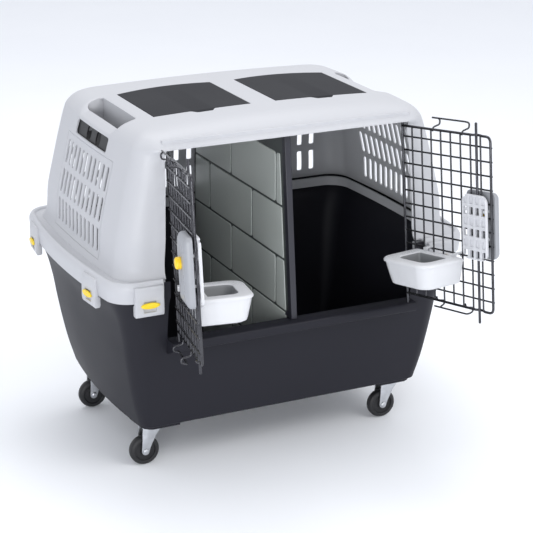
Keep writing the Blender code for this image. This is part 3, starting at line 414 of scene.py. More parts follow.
x, y, z = shell_points()
skin = grid_mesh("shell", x, y, z)
faces = [list(face.vertices) for face in skin.polygons] + roof_strips(x.shape[1], x.size - x.shape[1])
mesh = bpy.data.meshes.new("shell")
mesh.from_pydata(np.stack((x, y, z), axis=-1).reshape(-1, 3).tolist(), [], faces)
shell = piece("shell", mesh, SHELL, "crate", ("upper_shell",))
solidified(shell, SHELL_WALL)

# The walls round each handle trough are joined first, then everything is cut
TROUGH_X0, TROUGH_X1, TROUGH_HY = 0.2620, 0.2970, 0.0970
WINDOW_HY, WINDOW_H, WINDOW_Z = 0.0880, 0.0290, BROW_Z - 0.0344
INNER_X, LIP = TROUGH_X0 - 0.0035, 0.0003
CHEEK = np.array(((INNER_X, WINDOW_Z - .0020), (.3245, WINDOW_Z - .0020), (.3222, WINDOW_Z + .0070),
                  (.3135, BROW_Z), (.3075, BROW_Z + .0081), (.2980, BROW_Z + .0171),
                  (.2860, BROW_Z + .0231), (INNER_X, BROW_Z + .0291)))
for inwards in (-1, 1):
    low, high = sorted((inwards * (TROUGH_HY + LIP), inwards * (TROUGH_HY + LIP + SHELL_WALL)))
    cut(shell, joined("cheeks", [prism("cheek", CHEEK * (side, 1), "y", low + SET_BACK, high + SET_BACK)
                                 for side in (-1, 1)]), "UNION")
cut(shell, joined("trough_walls", [
    prism("trough_wall", oval(*sorted((side * (INNER_X + LIP), side * (INNER_X + LIP + SHELL_WALL))),
                              SET_BACK - TROUGH_HY - .0018, SET_BACK + TROUGH_HY + .0018, 0.0001, 2),
          "z", WINDOW_Z - .0018, BROW_Z + .0284) for side in (-1, 1)]), "UNION")

OPEN_HEAD_X, OPEN_FOOT_X, SKIRT_END_X = 0.2585, 0.2705, 0.2840
door_line = [(OPEN_FOOT_X + .0055, .3600), (OPEN_FOOT_X, CHANNEL_Z + .0075), (OPEN_HEAD_X, BROW_Z)]
doorway = door_line + [(-a, b) for a, b in door_line[::-1]]
cut(shell, prism("doorway", doorway, "y", SET_BACK - HY - .066, SET_BACK - .205))
cut(shell, prism("skirt_gap", oval(-SKIRT_END_X, SKIRT_END_X, SKIRT_Z - .02, CHANNEL_Z + .0115, .004),
                 "y", SET_BACK - HY - .066, SET_BACK - .2545))

LID_INNER, LID_OUTER, LID_FRONT, LID_REAR, LID_BOW = 0.0280, 0.2320, -0.1096, 0.0927, 0.0140
LID_GAP = 0.0012
TAB_X = (LID_INNER + LID_OUTER) / 2
TAB_HALF, TAB_FLARE, TAB_OUT = 0.0130, 0.0130, 0.0125


def lid_outline(grow, notch=0.0):
    """A lid's edge, grown by a clearance: straight front with a finger notch, bowed rear edge."""
    across = np.linspace(LID_OUTER + grow, LID_INNER - grow, 25)
    half = (LID_OUTER - LID_INNER) / 2
    rear = LID_REAR + grow + LID_BOW * (1 - np.clip((across - TAB_X) / half, -1, 1) ** 2)
    front = LID_FRONT - grow
    t = np.linspace(0, 1, 7)
    flare = TAB_X - TAB_HALF - TAB_FLARE * (1 - t) - grow
    fall = front - (TAB_OUT + notch) * step(t)
    line = [(LID_INNER - grow, front)] + list(zip(flare, fall)) + list(zip(2 * TAB_X - flare[::-1], fall[::-1]))
    line += [(LID_OUTER + grow, front)] + list(zip(across, rear))
    return np.array(line)


for side in (-1, 1):
    cut(shell, prism("lid_opening", (lid_outline(LID_GAP, .0015) + (0, SET_BACK)) * (side, 1), "z",
                     ROOF_Z - .015, ROOF_Z + .025))
cut(shell, joined("troughs", [
    prism("trough", oval(*sorted((side * TROUGH_X0, side * TROUGH_X1)), SET_BACK - TROUGH_HY,
                         SET_BACK + TROUGH_HY, .009, 7),
          "z", BROW_Z - .0004, ROOF_Z + .0205) for side in (-1, 1)]))
cut(shell, joined("windows", [
    prism("window", oval(SET_BACK - WINDOW_HY, SET_BACK + WINDOW_HY, WINDOW_Z, WINDOW_Z + WINDOW_H, .0060, 6),
          "x", *sorted((side * (TROUGH_X1 + .0075), side * (TROUGH_X1 + .048)))) for side in (-1, 1)]))

END_SLOTS, END_PITCH, END_SLOT_W, END_SLOT_H = 11, 0.0227, 0.0108, 0.0480
BACK_SLOTS, BACK_FIRST, BACK_PITCH, BACK_SLOT_W, BACK_SLOT_H = 10, 0.0161, 0.0298, 0.0120, 0.0440
VENT_ROWS, ROW_PITCH = 3, 0.0590
END_VENT_Z, BACK_VENT_Z = CHANNEL_Z + 0.0230, CHANNEL_Z + 0.0175
end_slots, back_slots = [], []
for side in (-1, 1):
    for row in range(VENT_ROWS):
        z0 = END_VENT_Z + row * ROW_PITCH
        for k in range(END_SLOTS):
            y0 = SET_BACK + (k - (END_SLOTS - 1) / 2) * END_PITCH
            end_slots.append(prism("slot", oval(y0 - END_SLOT_W / 2, y0 + END_SLOT_W / 2, z0, z0 + END_SLOT_H,
                                                .0050, 4), "x", *sorted((side * .300, side * HX))))
        z0 = BACK_VENT_Z + row * ROW_PITCH
        for k in range(BACK_SLOTS):
            x0 = side * (BACK_FIRST + k * BACK_PITCH)
            back_slots.append(prism("slot", oval(x0 - BACK_SLOT_W / 2, x0 + BACK_SLOT_W / 2, z0,
                                                 z0 + BACK_SLOT_H, .0030, 4),
                                    "y", SET_BACK + .225, SET_BACK + HY))
cut(shell, joined("end_vents", end_slots))
cut(shell, joined("back_vents", back_slots))

# The lip that reaches down inside the tub, with a shadow gap above it
x, y = plan_rings(HX - np.array((.0285, .0310)), HY - np.array((.0230, .0255)), (.05, .05), (.011, .011))
lip_z = np.array(((0.4010,), (0.4225,))) + 0 * x
lip = piece("shell_lip", grid_mesh("shell_lip", x, y + SET_BACK, lip_z), SHELL, "crate")
solidified(lip, .0025)
cut(lip, prism("lip_gap", oval(-OPEN_FOOT_X, OPEN_FOOT_X, SKIRT_Z, .450, .001), "y",
               SET_BACK - HY - .026, SET_BACK - .200))

# Lintel rail behind the brow, in which the doors' rods and bolts turn
LINTEL_Y, LINTEL_Z = (-.2325, -.2080), (BROW_Z + .0036, BROW_Z + .0181)
lintel = [(y, z) for y, z in zip(LINTEL_Y + LINTEL_Y[::-1], np.repeat(LINTEL_Z, 2))]
lintel = piece("lintel", prism("lintel", np.array(lintel) + (SET_BACK, 0), "x", -OPEN_HEAD_X - .0055,
                               OPEN_HEAD_X + .0055), SHELL, "crate")
eased_edges(lintel, .0012)


# Base tub: a deep anthracite polypropylene tray with a drawn-in foot and a sill
# rail under the doors.  Four pads under its floor carry the casters.

TUB = moulded("base_plastic", tone(31, 31, 38), 0.52, spread=0.08, grain=0.00005, Specular_IOR_Level=0.20)
FLOOR_Z, SILL_Z = 0.0993, 0.3000
TUB_LEVELS = np.array((   # height, draw-in along x and y, corner, bow, pieces up to the next
    (FLOOR_Z, .0830, .0678, .0180, .0155, 3),
    (FLOOR_Z + .0037, .0765, .0623, .0220, .0155, 8),
    (FLOOR_Z + .0507, .0634, .0521, .0280, .0165, 8),
    (FLOOR_Z + .1007, .0530, .0433, .0330, .0175, 8),
    (FLOOR_Z + .1507, .0445, .0353, .0370, .0185, 8),
    (SILL_Z, .0370, .0278, .0400, .0195, 8),
    (SILL_Z + .0500, .0245, .0198, .0430, .0205, 6),
    (SKIRT_Z - .0131, .0110, .0128, .0440, .0213, 3),
    (SKIRT_Z + .0029, .0045, .0045, .0455, .0213, 4),
    (CHANNEL_Z - .0035, .0045, .0045, .0455, .0213, 0)))
z, in_x, in_y, corner, bow = refined(TUB_LEVELS, (0, 1, 8)).T
x, y = plan_rings(HX - in_x, HY - in_y, corner, bow)
tub = piece("tub", grid_mesh("tub", x, y + SET_BACK, z[:, None] + 0 * x, caps=("first",)), TUB, "crate",
            ("base_tub",))
solidified(tub, .0030)
SILL_X = 0.2680
cut(tub, prism("tub_doorway", oval(-SILL_X, SILL_X, SILL_Z, .4600, .006), "y", SET_BACK - HY - .066,
               SET_BACK - .200))
RAIL = np.array(((-.2400, SILL_Z - .0300), (-.2480, SILL_Z - .0300), (-.2735, SILL_Z - .0185),
                 (-.2755, SILL_Z - .0160), (-.2757, SILL_Z - .0045), (-.2745, SILL_Z - .0015),
                 (-.2720, SILL_Z), (-.2400, SILL_Z)))
cut(tub, prism("sill_rail", RAIL + (SET_BACK, 0), "x", -SILL_X, SILL_X), "UNION")
CASTER_X, CASTER_Y = HX - .0830 - .0447, HY - .0678 - .0509
PAD = np.array(((-.0443, -.0206), (.0377, -.0206), (.0322, .0274), (.0282, .0384), (.0207, .0459),
                (.0127, .0494), (-.0443, .0494)))
for sx in (-1, 1):
    for sy in (-1, 1):
        cut(tub, prism("caster_pad", (PAD + (CASTER_X, CASTER_Y)) * (sx, sy) + (0, SET_BACK), "z",
                       .0943, FLOOR_Z + .0017), "UNION")
cut(tub, prism("divider_groove", oval(-.0043, .0043, SET_BACK - .2075, SET_BACK + .2075, .0005, 2), "z",
               FLOOR_Z + .0015, FLOOR_Z + .0060))
eased_edges(tub, .0006, 1, 50.0)


# Divider: two ribbed half panels of grey-green polypropylene in a running-bond
# relief, standing in a groove of the floor, with a black post at the doors.

DIVIDER = moulded("divider_plastic", tone(190, 196, 191), 0.38, spread=0.10, grain=0.00006)
POST_FOOT, POST_HEAD, POST_D = (-.2563, SILL_Z + .0005), (-.2210, BROW_Z + .0021), 0.0140


def post_y(z):
    return POST_FOOT[0] + (POST_HEAD[0] - POST_FOOT[0]) * (z - POST_FOOT[1]) / (POST_HEAD[1] - POST_FOOT[1])


BEHIND = POST_D + .0004
WALL_MID, WALL_LOW = WALL_Z0 + .53 * WALL_RISE, WALL_Z0 + .28 * WALL_RISE
PANEL = np.array((
    (-.2050, FLOOR_Z + .0018), (-.2060, FLOOR_Z + .0037), (-.2340, SILL_Z - .0260), (-.2340, SILL_Z - .0015),
    (-.2255, SILL_Z - .0015), (-.2255, SILL_Z + .0080), (post_y(SILL_Z + .0200) + BEHIND, SILL_Z + .0200),
    (post_y(BROW_Z + .0016) + BEHIND, BROW_Z + .0016), (-.2065, BROW_Z + .0016), (-.2065, BROW_Z + .0201),
    (-.1660, ROOF_Z + .0005), (.1660, ROOF_Z + .0005), (.1890, ROOF_Z - .0040), (.2060, ROOF_Z - .0115),
    (.2180, ROOF_Z - .0195), (.2260, ROOF_Z - .0310), (.2310, ROOF_Z - .0595), (.2370, WALL_MID),
    (.2415, WALL_LOW), (.2440, CHANNEL_Z + .011), (.2440, SILL_Z + .0150), (.2425, SILL_Z),
    (.2350, FLOOR_Z + .1507),
    (.2270, FLOOR_Z + .1007), (.2180, FLOOR_Z + .0507), (.2080, FLOOR_Z + .0052), (.2045, FLOOR_Z + .0037),
    (.2035, FLOOR_Z + .0018)))
# The panel showing in the joints between the bricks is coloured much darker than the bricks: painted shade in
# the joints.
PANEL_PAINTED_SHADE = moulded("divider_painted_shade", tone(70, 75, 74), 0.50, spread=0.10)
divider = piece("divider", prism("divider", PANEL + (SET_BACK, 0), "x", -.0022, .0022), PANEL_PAINTED_SHADE, "crate",
                ("divider_panel",))
FIELD = np.array(((-.1950, .1080), (-.2260, .2850), (-.2220, .3200), (-.1925, .6280), (-.1560, .6420),
                  (.1500, .6420), (.2050, .6200), (.2280, .5600), (.2380, .4400), (.2360, .3000),
                  (.2200, .1800), (.2020, .1080)))
BRICK_L, BRICK_H, JOINT = 0.2180, 0.1075, 0.0050
BRICK_TOP, BRICK_ROWS, EVEN_Y, ODD_Y = 0.6280, 5, 0.0415, 0.1545
bricks = []
for row in range(BRICK_ROWS):
    top = BRICK_TOP - row * BRICK_H
    offset = ODD_Y if row % 2 else EVEN_Y
    for k in range(-3, 3):
        y0 = offset + k * BRICK_L
        bricks.append(prism("brick", oval(y0 + JOINT / 2, y0 + BRICK_L - JOINT / 2, top - BRICK_H + JOINT / 2,
                                          top - JOINT / 2, .006, 4) + (SET_BACK, 0), "x", -.0039, .0039))
wall = piece("divider_bricks", joined("divider_bricks", bricks), DIVIDER, "crate")
cut(wall, prism("field", FIELD + (SET_BACK, 0), "x", -.02, .02), "INTERSECT")
eased_edges(wall, .0012, 2, 40.0)

POST = moulded("edge_plastic", tone(40, 40, 48), 0.40, spread=0.08)
post = [(post_y(SILL_Z + .0005), SILL_Z + .0005), (-.2263, SILL_Z + .0005), (-.2263, SILL_Z + .0060),
        (post_y(SILL_Z + .0180) + POST_D, SILL_Z + .0180), (POST_HEAD[0] + POST_D, POST_HEAD[1]), POST_HEAD]
post = piece("post", prism("post", np.array(post) + (SET_BACK, 0), "x", -.0065, .0065), POST, "crate",
             ("divider_edge",))
eased_edges(post, .0012)


# Handle liners: thin black mouldings clipped inside the two end windows, each
# with two finger slots through which daylight shows.

LINER = moulded("insert_plastic", tone(26, 26, 29), 0.45, spread=0.10)
LINER_Z = WINDOW_Z - 0.0055
LINER_LINE = np.array(((INNER_X + .0005, LINER_Z), (.3228, LINER_Z), (.3125, LINER_Z + .0355),
                       (.3097, LINER_Z + .0355), (.3186, LINER_Z + SHELL_WALL),
                       (INNER_X + .0005, LINER_Z + SHELL_WALL)))
FINGER_Y, FINGER_HALF, FINGER_Z = 0.0260, 0.0125, (LINER_Z + .0040, LINER_Z + .0330)
SIDES = ((-1, "left"), (1, "right"))
for side, tag in SIDES:
    low, high = SET_BACK - TROUGH_HY + .0008, SET_BACK + TROUGH_HY - .0008
    liner = piece("handle_liner_" + tag, prism("liner", LINER_LINE * (side, 1), "y", low, high), LINER, "crate",
                  ("handle_insert_" + tag,))
    cut(liner, joined("finger_slots", [
        prism("slot", oval(middle - FINGER_HALF, middle + FINGER_HALF, *FINGER_Z, .0110, 8), "x",
              *sorted((side * .300, side * .335))) for middle in (SET_BACK - FINGER_Y, SET_BACK + FINGER_Y)]))


# Roof lids: two dark flaps of grained polypropylene flush with the roof.  Each
# follows the crown, bows at the rear and drops at the front into a finger tab.

LID = moulded("lid_plastic", tone(30, 31, 36), 0.55, spread=0.05, grain=0.00009, grain_scale=900.0,
              Specular_IOR_Level=0.15)
LID_T, TAB_DROP = 0.0040, 0.0055


def lid_mesh(side):
    """A profile carried along x: front edge, top, rear edge and underside, all following the crown.

    The front edge runs out and down at the tab by a smooth step of the distance from its middle."""
    x = np.linspace(LID_INNER, LID_OUTER, 61)[:, None]
    tab = step((TAB_HALF + TAB_FLARE - abs(x - TAB_X)) / TAB_FLARE)
    front, top = LID_FRONT - TAB_OUT * tab, ROOF_Z + ROOF_CROWN * (1 - (x / ROOF_HX) ** 2) + .0004
    rear = LID_REAR + LID_BOW * (1 - ((x - TAB_X) / ((LID_OUTER - LID_INNER) / 2)) ** 2)
    run = np.linspace(0, 1, 6)[None, :]
    nose = front + run * (LID_FRONT + .0030 - front)
    fall = TAB_DROP * tab * (1 - step(run))
    y = np.hstack((nose, rear, rear, nose[:, ::-1]))
    z = np.hstack((top - fall, top, top - LID_T, (top - fall - LID_T)[:, ::-1]))
    mesh = grid_mesh("lid", side * (x + 0 * y), y + SET_BACK, z, caps=("first", "last"))
    if side > 0:
        mesh.flip_normals()
    return mesh


for side, tag in SIDES:
    lid = piece("lid_" + tag, lid_mesh(side), LID, "lid_" + tag, ("roof_lid_" + tag,))
    eased_edges(lid, .0007)


# Doors: welded wire, eight uprights on twelve cross wires in a heavier frame
# that steps out round each bolt.  The hinge rod turns in the lintel and the sill,
# and two bent hooks stand off the outside at top and bottom.

WIRE = Finish("coated_wire", Metallic=0.85)
worn = WIRE.noise(60.0, 3.0)
WIRE.feed(Base_Color=WIRE.mix(worn, tone(44, 44, 47), tone(92, 92, 96)), Roughness=worn * 0.16 + 0.16)
WIRE.bump((WIRE.noise(900.0, 2.0), 0.00004))

HINGE_X, HINGE_Y, HINGE_Z = 0.2519, -0.2651, 0.3209
LEAN, DOOR_OPEN = math.radians(6.56), math.radians(102)
DOOR_W, DOOR_H = HINGE_X - .0047, (ROOF_Z - .0425 - HINGE_Z) / math.cos(LEAN)
WIRE_R, FRAME_R, BOLT_R, BOLT_OUT = 0.0018, 0.0026, 0.0026, 0.0250
BOLT_W, BOLT_N = DOOR_W - .0360, -0.0017
W_STEP, END_WIRE = DOOR_W / 9, 0.0215
V_STEP = (DOOR_H - 2 * END_WIRE) / 11
UPRIGHT_N, CROSS_N, HOOK_N = 0.0006, 0.0033, FRAME_R + WIRE_R + .0003


def door_place(side, turn=DOOR_OPEN):
    """From a door's own axes to the world: w from the hinge, v up the hinge, n out of the closed door."""
    mirror = Matrix(((-side, 0, 0, 0), (0, 0, -1, 0), (0, 1, 0, 0), (0, 0, 0, 1)))
    return (Matrix.Translation((side * HINGE_X, HINGE_Y + SET_BACK, HINGE_Z)) @ Matrix.Rotation(-LEAN, 4, "X")
            @ Matrix.Rotation(side * turn, 4, "Z") @ mirror)


def bent(points, radius, count=5):
    """A path with its corners replaced by parabolas that start radius before each corner."""
    points = np.asarray(points, float)
    path = [points[:1]]
    for before, corner, after in zip(points, points[1:], points[2:]):
        back, on = before - corner, after - corner
        reach = min(radius, .48 * np.linalg.norm(back), .48 * np.linalg.norm(on))
        a, b = corner + back / np.linalg.norm(back) * reach, corner + on / np.linalg.norm(on) * reach
        t = np.linspace(0, 1, count)[:, None]
        path.append((1 - t) ** 2 * a + 2 * t * (1 - t) * corner + t ** 2 * b)
    return np.concatenate(path + [points[-1:]])


def wire(path, radius, sides=10):
    """A round wire: a circle carried along a path, square to it, with closed ends."""
    path = np.asarray(path, float)
    ahead = np.gradient(path, axis=0)
    ahead /= np.linalg.norm(ahead, axis=1)[:, None]
    across = np.cross(ahead[0], (.31, .52, .79))
    frames = []
    for direction in ahead:
        across = across - direction * (across @ direction)
        across /= np.linalg.norm(across)
        frames.append(across)
    across = np.array(frames)
    up = np.cross(ahead, across)
    angle = np.linspace(0, 2 * math.pi, sides, endpoint=False)
    ring = (path[:, None, :] + radius * (across[:, None, :] * np.cos(angle)[None, :, None]
                                         + up[:, None, :] * np.sin(angle)[None, :, None]))
    return grid_mesh("wire", *np.moveaxis(ring, -1, 0), caps=("first", "last"))


def placed_mesh(name, mesh, place):
    """A mesh moved to its place, its faces kept outwards where the place mirrors it."""
    mesh.transform(place)
    if place.determinant() < 0:
        mesh.flip_normals()
    mesh.name = name
    return mesh


def frame_line():
    half = [(0.0, DOOR_H, 0.0)] + [(BOLT_W + w, DOOR_H, out) for w, out in
                                   ((-.0115, 0), (-.0060, .0044), (.0060, .0044), (.0115, 0))]
    half += [(DOOR_W, DOOR_H, 0.0)]
    return bent(half + [(w, DOOR_H - v, n) for w, v, n in half[::-1]], .0120, 7)


def hook_lines(up):
    """A hook's bar, bent down into one leg, and its other leg; both legs lie on the frame."""
    far, near, out = 3 * W_STEP, 6 * W_STEP, .0200 if up else .0130

    def leg(w):
        return [(w, .0172, out + .0035), (w, .0140, .0252), (w, .0065, .0243), (w, .0030, HOOK_N + .0020),
                (w, -.0050, HOOK_N)]
    lines = ([(far - .0160, .0190, out), (near - .0060, .0190, out)] + leg(near),
             [(far, .0190, out)] + leg(far))
    return [bent([(w, DOOR_H + v if up else -v, n) for w, v, n in line], .006) for line in lines]


for side, tag in SIDES:
    place = door_place(side)
    lines = [wire([(k * W_STEP, 0, UPRIGHT_N), (k * W_STEP, DOOR_H, UPRIGHT_N)], WIRE_R) for k in range(1, 9)]
    lines += [wire([(0, END_WIRE + k * V_STEP, CROSS_N), (DOOR_W, END_WIRE + k * V_STEP, CROSS_N)], WIRE_R)
              for k in range(12)]
    lines.append(wire(frame_line(), FRAME_R, 12))
    lines.append(wire([(0, -BOLT_OUT, 0), (0, DOOR_H + BOLT_OUT, 0)], FRAME_R, 12))
    piece("wires_" + tag, placed_mesh("wires", joined("wires", lines), place), WIRE, "door_" + tag,
          ("door_grid_" + tag,), sharp=60)
    for up, level in ((True, "upper"), (False, "lower")):
        hook = joined("hook", [wire(line, WIRE_R) for line in hook_lines(up)])
        piece("hook_" + level + "_" + tag, placed_mesh("hook", hook, place), WIRE, "door_" + tag,
              ("door_hook_" + level + "_" + tag,), sharp=60)


# Door latches: a light grey housing screwed through the wires to a white lattice
# plate inside.  A yellow button draws the two spring bolts.

HOUSING = moulded("latch_body_plastic", tone(150, 152, 157), 0.38, spread=0.03, grain=0.00003)
LATTICE = moulded("bowl_plastic", tone(206, 207, 211), 0.34, spread=0.02, grain=0.00002)
BUTTON = moulded("button_plastic", tone(240, 200, 30), 0.34, spread=0.05, grain=0.00002)
BOLT = Finish("bolt_steel", Metallic=0.85)
rub = BOLT.noise(40.0, 3.0)
BOLT.feed(Base_Color=BOLT.mix(rub, tone(52, 52, 56), tone(92, 92, 97)), Roughness=rub * 0.14 + 0.22)
BOLT.bump((BOLT.noise(700.0, 2.0), 0.00003))

HOUSE_W, HOUSE_V = (.1740, .2505), (.1050, .2350)
BUTTON_W, BUTTON_V, WELL_R = .2120, .1840, .0117
PLATE_W, PLATE_V = (.1776, .2424), (.1030, .2300)


def turned(name, profile, steps=40):
    """A (radius, height) profile turned about the third axis."""
    profile = np.array(profile, float)
    angle = np.linspace(0, 2 * math.pi, steps, endpoint=False)[None, :]
    radius, height = profile[:, :1], profile[:, 1:]
    return grid_mesh(name, radius * np.cos(angle), radius * np.sin(angle), height + 0 * angle,
                     caps=("first", "last"))


def house_mesh():
    """Rounded oblongs stacked outwards, the last ones drawn in to an arched face."""
    levels = np.array(((.0056, 0, .0100), (.0120, 0, .0100), (.0150, .0006, .0098), (.0178, .0020, .0094),
                       (.0202, .0046, .0088), (.0218, .0080, .0084), (.0225, .0110, .0080)))
    rings = np.array([oval(HOUSE_W[0] + inset, HOUSE_W[1] - inset, HOUSE_V[0] + inset * 1.6,
                           HOUSE_V[1] - inset * 1.6, radius, 8) for _, inset, radius in levels])
    out = levels[:, :1] + 0 * rings[..., 0]
    return grid_mesh("house", rings[..., 0], rings[..., 1], out, caps=("first", "last"))


for side, tag in SIDES:
    place = door_place(side)
    body = "door_" + tag
    house = piece("housing_" + tag, house_mesh(), HOUSING)
    cut(house, prism("well", oval(BUTTON_W - WELL_R, BUTTON_W + WELL_R, BUTTON_V - WELL_R, BUTTON_V + WELL_R,
                                  WELL_R, 10), "z", 0.0, .0400))
    slots = [oval(.2330, .2390, v, v + .0130, .0010, 3) for v in (.1180, .1360, .1540, .2060)]
    slots += [oval(.1860, .1930, v, v + .0180, .0010, 3) for v in (.1240, .2040)]
    cut(house, joined("slots", [prism("slot", slot, "z", .0135, .0400) for slot in slots]))
    eased_edges(house, .0006)
    settle(house)
    placed_mesh("housing_" + tag, house.data, place)
    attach(house, body)
    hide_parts("latch_housing_" + tag)

    plate = prism("lattice", oval(*PLATE_W, *PLATE_V, .0150, 8), "z", -.0112, -.0048)
    lattice = piece("lattice_" + tag, plate, LATTICE)
    pitch_w, pitch_v = (PLATE_W[1] - PLATE_W[0]) / 4, (PLATE_V[1] - PLATE_V[0]) / 6
    panes = [oval(PLATE_W[0] + i * pitch_w + .0028, PLATE_W[0] + (i + 1) * pitch_w - .0028,
                  PLATE_V[0] + j * pitch_v + .0030, PLATE_V[0] + (j + 1) * pitch_v - .0030, .0012, 3)
             for i in range(4) for j in range(6)]
    cut(lattice, joined("panes", [prism("pane", pane, "z", -.0400, -.0062) for pane in panes]))
    cut(lattice, joined("windows", [prism("pane", pane, "z", -.0400, .0200) for pane in panes[::2]]))
    eased_edges(lattice, .0005)
    settle(lattice)
    posts = []
    for w, v in ((.1830, .1440), (.1830, .1990), (.2330, .1440), (.2330, .1990)):
        posts.append(turned("post", ((.0001, -.0060), (.0030, -.0060), (.0030, .0052), (.0001, .0052)), 16))
        posts[-1].transform(Matrix.Translation((w, v, 0)))
    cut(lattice, joined("posts", posts), "UNION")
    placed_mesh("lattice_" + tag, lattice.data, place)
    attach(lattice, body)
    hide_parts("latch_inner_plate_" + tag)

    knob = [(.0002, .0193), (.0040, .0191), (.0078, .0184), (.0098, .0174), (.0109, .0158), (.0112, .0140),
            (.0112, .0006), (.0110, 0), (.0002, 0)]
    knob = turned("button", knob[::-1])
    piece("button_" + tag, placed_mesh("button", knob, place @ Matrix.Translation((BUTTON_W, BUTTON_V, .0142))),
          BUTTON, "button_" + tag, ("door_button_" + tag,))
    for level, base, length, turn in (("upper", .2000, DOOR_H + BOLT_OUT - .2000, 1),
                                      ("lower", .1350, .1350 + BOLT_OUT, -1)):
        rod = [(.0001, 0), (BOLT_R, 0), (BOLT_R, length - .0015), (BOLT_R * .6, length), (.0001, length)]
        rod = turned("bolt", rod, 16)
        foot = place @ Matrix.Translation((BOLT_W, base, BOLT_N))
        stand = foot @ Matrix.Rotation(-turn * math.pi / 2, 4, "X")
        piece("bolt_" + level + "_rod_" + tag, placed_mesh("bolt", rod, stand), BOLT,
              "bolt_" + level + "_" + tag, ("bolt_" + level + "_" + tag,))


# Bowls: white polypropylene, straight where they hang on the door and round
# towards the room, with a broad turned-in rim and two hook tabs over a cross wire.

BOWL = moulded("bowl_plastic_gloss", tone(206, 207, 210), 0.28, spread=0.015, grain=0.00001)
# The inside of each bowl is coloured a darker grey than its white outside: painted shade down in the well.
BOWL_INSIDE_PAINTED_SHADE = moulded("bowl_plastic_scoured", tone(128, 130, 132), 0.45, spread=0.06, grain=0.00004)
BOWL_W, BOWL_N, BOWL_V = (.0480, .1850), (-.0138, -.1180), (.0510, .1030)


def bowl_mesh():
    """Plans stacked from the inside floor over the rim to the outer foot, each an oblong with two large
    corner arcs towards the room and two small ones at the door."""
    top, foot = BOWL_V[1], BOWL_V[0]
    rows = np.array((   # height, inset along w, at the room, at the door, large corner
        (foot + .0060, .0400, .0340, .0270, .0110),
        (foot + .0066, .0380, .0320, .0250, .0120),
        (foot + .0095, .0360, .0305, .0235, .0135),
        (top - .0060, .0300, .0265, .0205, .0160),
        (top - .0016, .0286, .0255, .0195, .0170),
        (top - .0003, .0275, .0245, .0185, .0175),
        (top, .0255, .0228, .0170, .0185),
        (top, .0050, .0045, .0030, .0265),
        (top - .0004, .0030, .0028, .0020, .0275),
        (top - .0018, .0010, .0010, .0008, .0290),
        (top - .0040, .0000, .0000, .0000, .0300),
        (top - .0058, .0003, .0003, .0000, .0300),
        (top - .0064, .0028, .0028, .0000, .0290),
        (top - .0240, .0062, .0062, .0000, .0280),
        (foot + .0070, .0112, .0112, .0000, .0260),
        (foot + .0020, .0130, .0130, .0006, .0245),
        (foot, .0165, .0165, .0030, .0225)))
    rings = []
    for v, in_w, in_room, in_door, corner in rows:
        w0, w1 = BOWL_W[0] + in_w, BOWL_W[1] - in_w
        n0, n1 = BOWL_N[1] + in_room, BOWL_N[0] - in_door
        small = .0040
        angle = np.linspace(0, math.pi / 2, 9)
        arcs = [(w1 - small, n1 - small, small, 0), (w0 + small, n1 - small, small, 1),
                (w0 + corner, n0 + corner, corner, 2), (w1 - corner, n0 + corner, corner, 3)]
        rings.append(np.concatenate([np.stack((cw + r * np.cos(angle + q * math.pi / 2), v + 0 * angle,
                                               cn + r * np.sin(angle + q * math.pi / 2)), axis=-1)
                                     for cw, cn, r, q in arcs]))
    rings = np.array(rings)
    return grid_mesh("bowl", rings[..., 0], rings[..., 1], rings[..., 2], caps=("first", "last"))


CROSS_V = END_WIRE + 3 * V_STEP
TAB = np.array(((-.0054, .0080), (-.0054, .0057), (.0024, .0057), (.0024, -.0128), (-.0060, -.0128),
                (-.0060, -.0155), (.0044, -.0155), (.0044, .0080))) + (CROSS_V, 0)
BOWL_TABS, TAB_W = (.0690, .1515), .0100
INSIDE_BANDS, BOWL_BANDS, BOWL_POINTS = 4, 16, 36
for side, tag in SIDES:
    bowl = joined("bowl", [bowl_mesh()] + [prism("tab", TAB, "x", w, w + TAB_W) for w in BOWL_TABS])
    bowl = piece("feed_bowl_" + tag, placed_mesh("bowl", bowl, door_place(side)), BOWL, "bowl_" + tag,
                 ("bowl_" + tag,))
    # The inner bands and the floor get the darker grey of the painted shade.
    bowl.data.materials.append(BOWL_INSIDE_PAINTED_SHADE.material)
    inside = np.zeros(len(bowl.data.polygons), int)
    inside[:INSIDE_BANDS * BOWL_POINTS] = 1
    inside[BOWL_BANDS * BOWL_POINTS] = 1
    bowl.data.polygons.foreach_set("material_index", inside)


# Flap latches: eight light grey flaps hinged on the skirt and hooked under it.
# Each is locked by a yellow slider in a shallow pocket.

FLAP_W = 0.0570
LATCH_X, LATCH_Y, LENS_Z = 0.3162, 0.1720, SKIRT_Z - .0021
TIP = moulded("slider_plastic", tone(238, 206, 40), 0.32, spread=0.05, grain=0.00002)


def flap_mesh(proud):
    """The flap's side outline with its hook below, carried along the rim with soft corners."""
    face = [(proud - .0045, .0334), (proud - .0018, .0300), (proud - .0008, .0229), (proud, -.0131),
            (proud - .0008, -.0210), (proud - .0030, -.0251)]
    hook = [(-.0020, -.0251), (-.0042, -.0216), (-.0042, -.0046), (.0003, -.0021), (.0003, .0334)]
    return prism("flap", np.array(face + hook) + (0, SKIRT_Z), "x", -FLAP_W / 2, FLAP_W / 2)


def slider_mesh(face):
    """Ovals stacked outwards and drawn in to a rounded thumb piece with a ridge across its middle."""
    angle = np.linspace(0, 2 * math.pi, 36, endpoint=False)[None, :]
    level = np.array(((-.0036, .62), (.0002, .62), (.0003, 1), (.0022, 1), (.0034, .93), (.0040, .78),
                      (.0036, .70), (.0036, .22), (.0042, .12), (.0042, .04)))
    out, share = level[:, :1], level[:, 1:]
    return grid_mesh("slider", .0190 * share * np.cos(angle), face + out + 0 * angle,
                     LENS_Z - .0060 * share * np.sin(angle), caps=("first", "last"))


def end_x(y):
    return HX - .0213 * (y / HY) ** 2


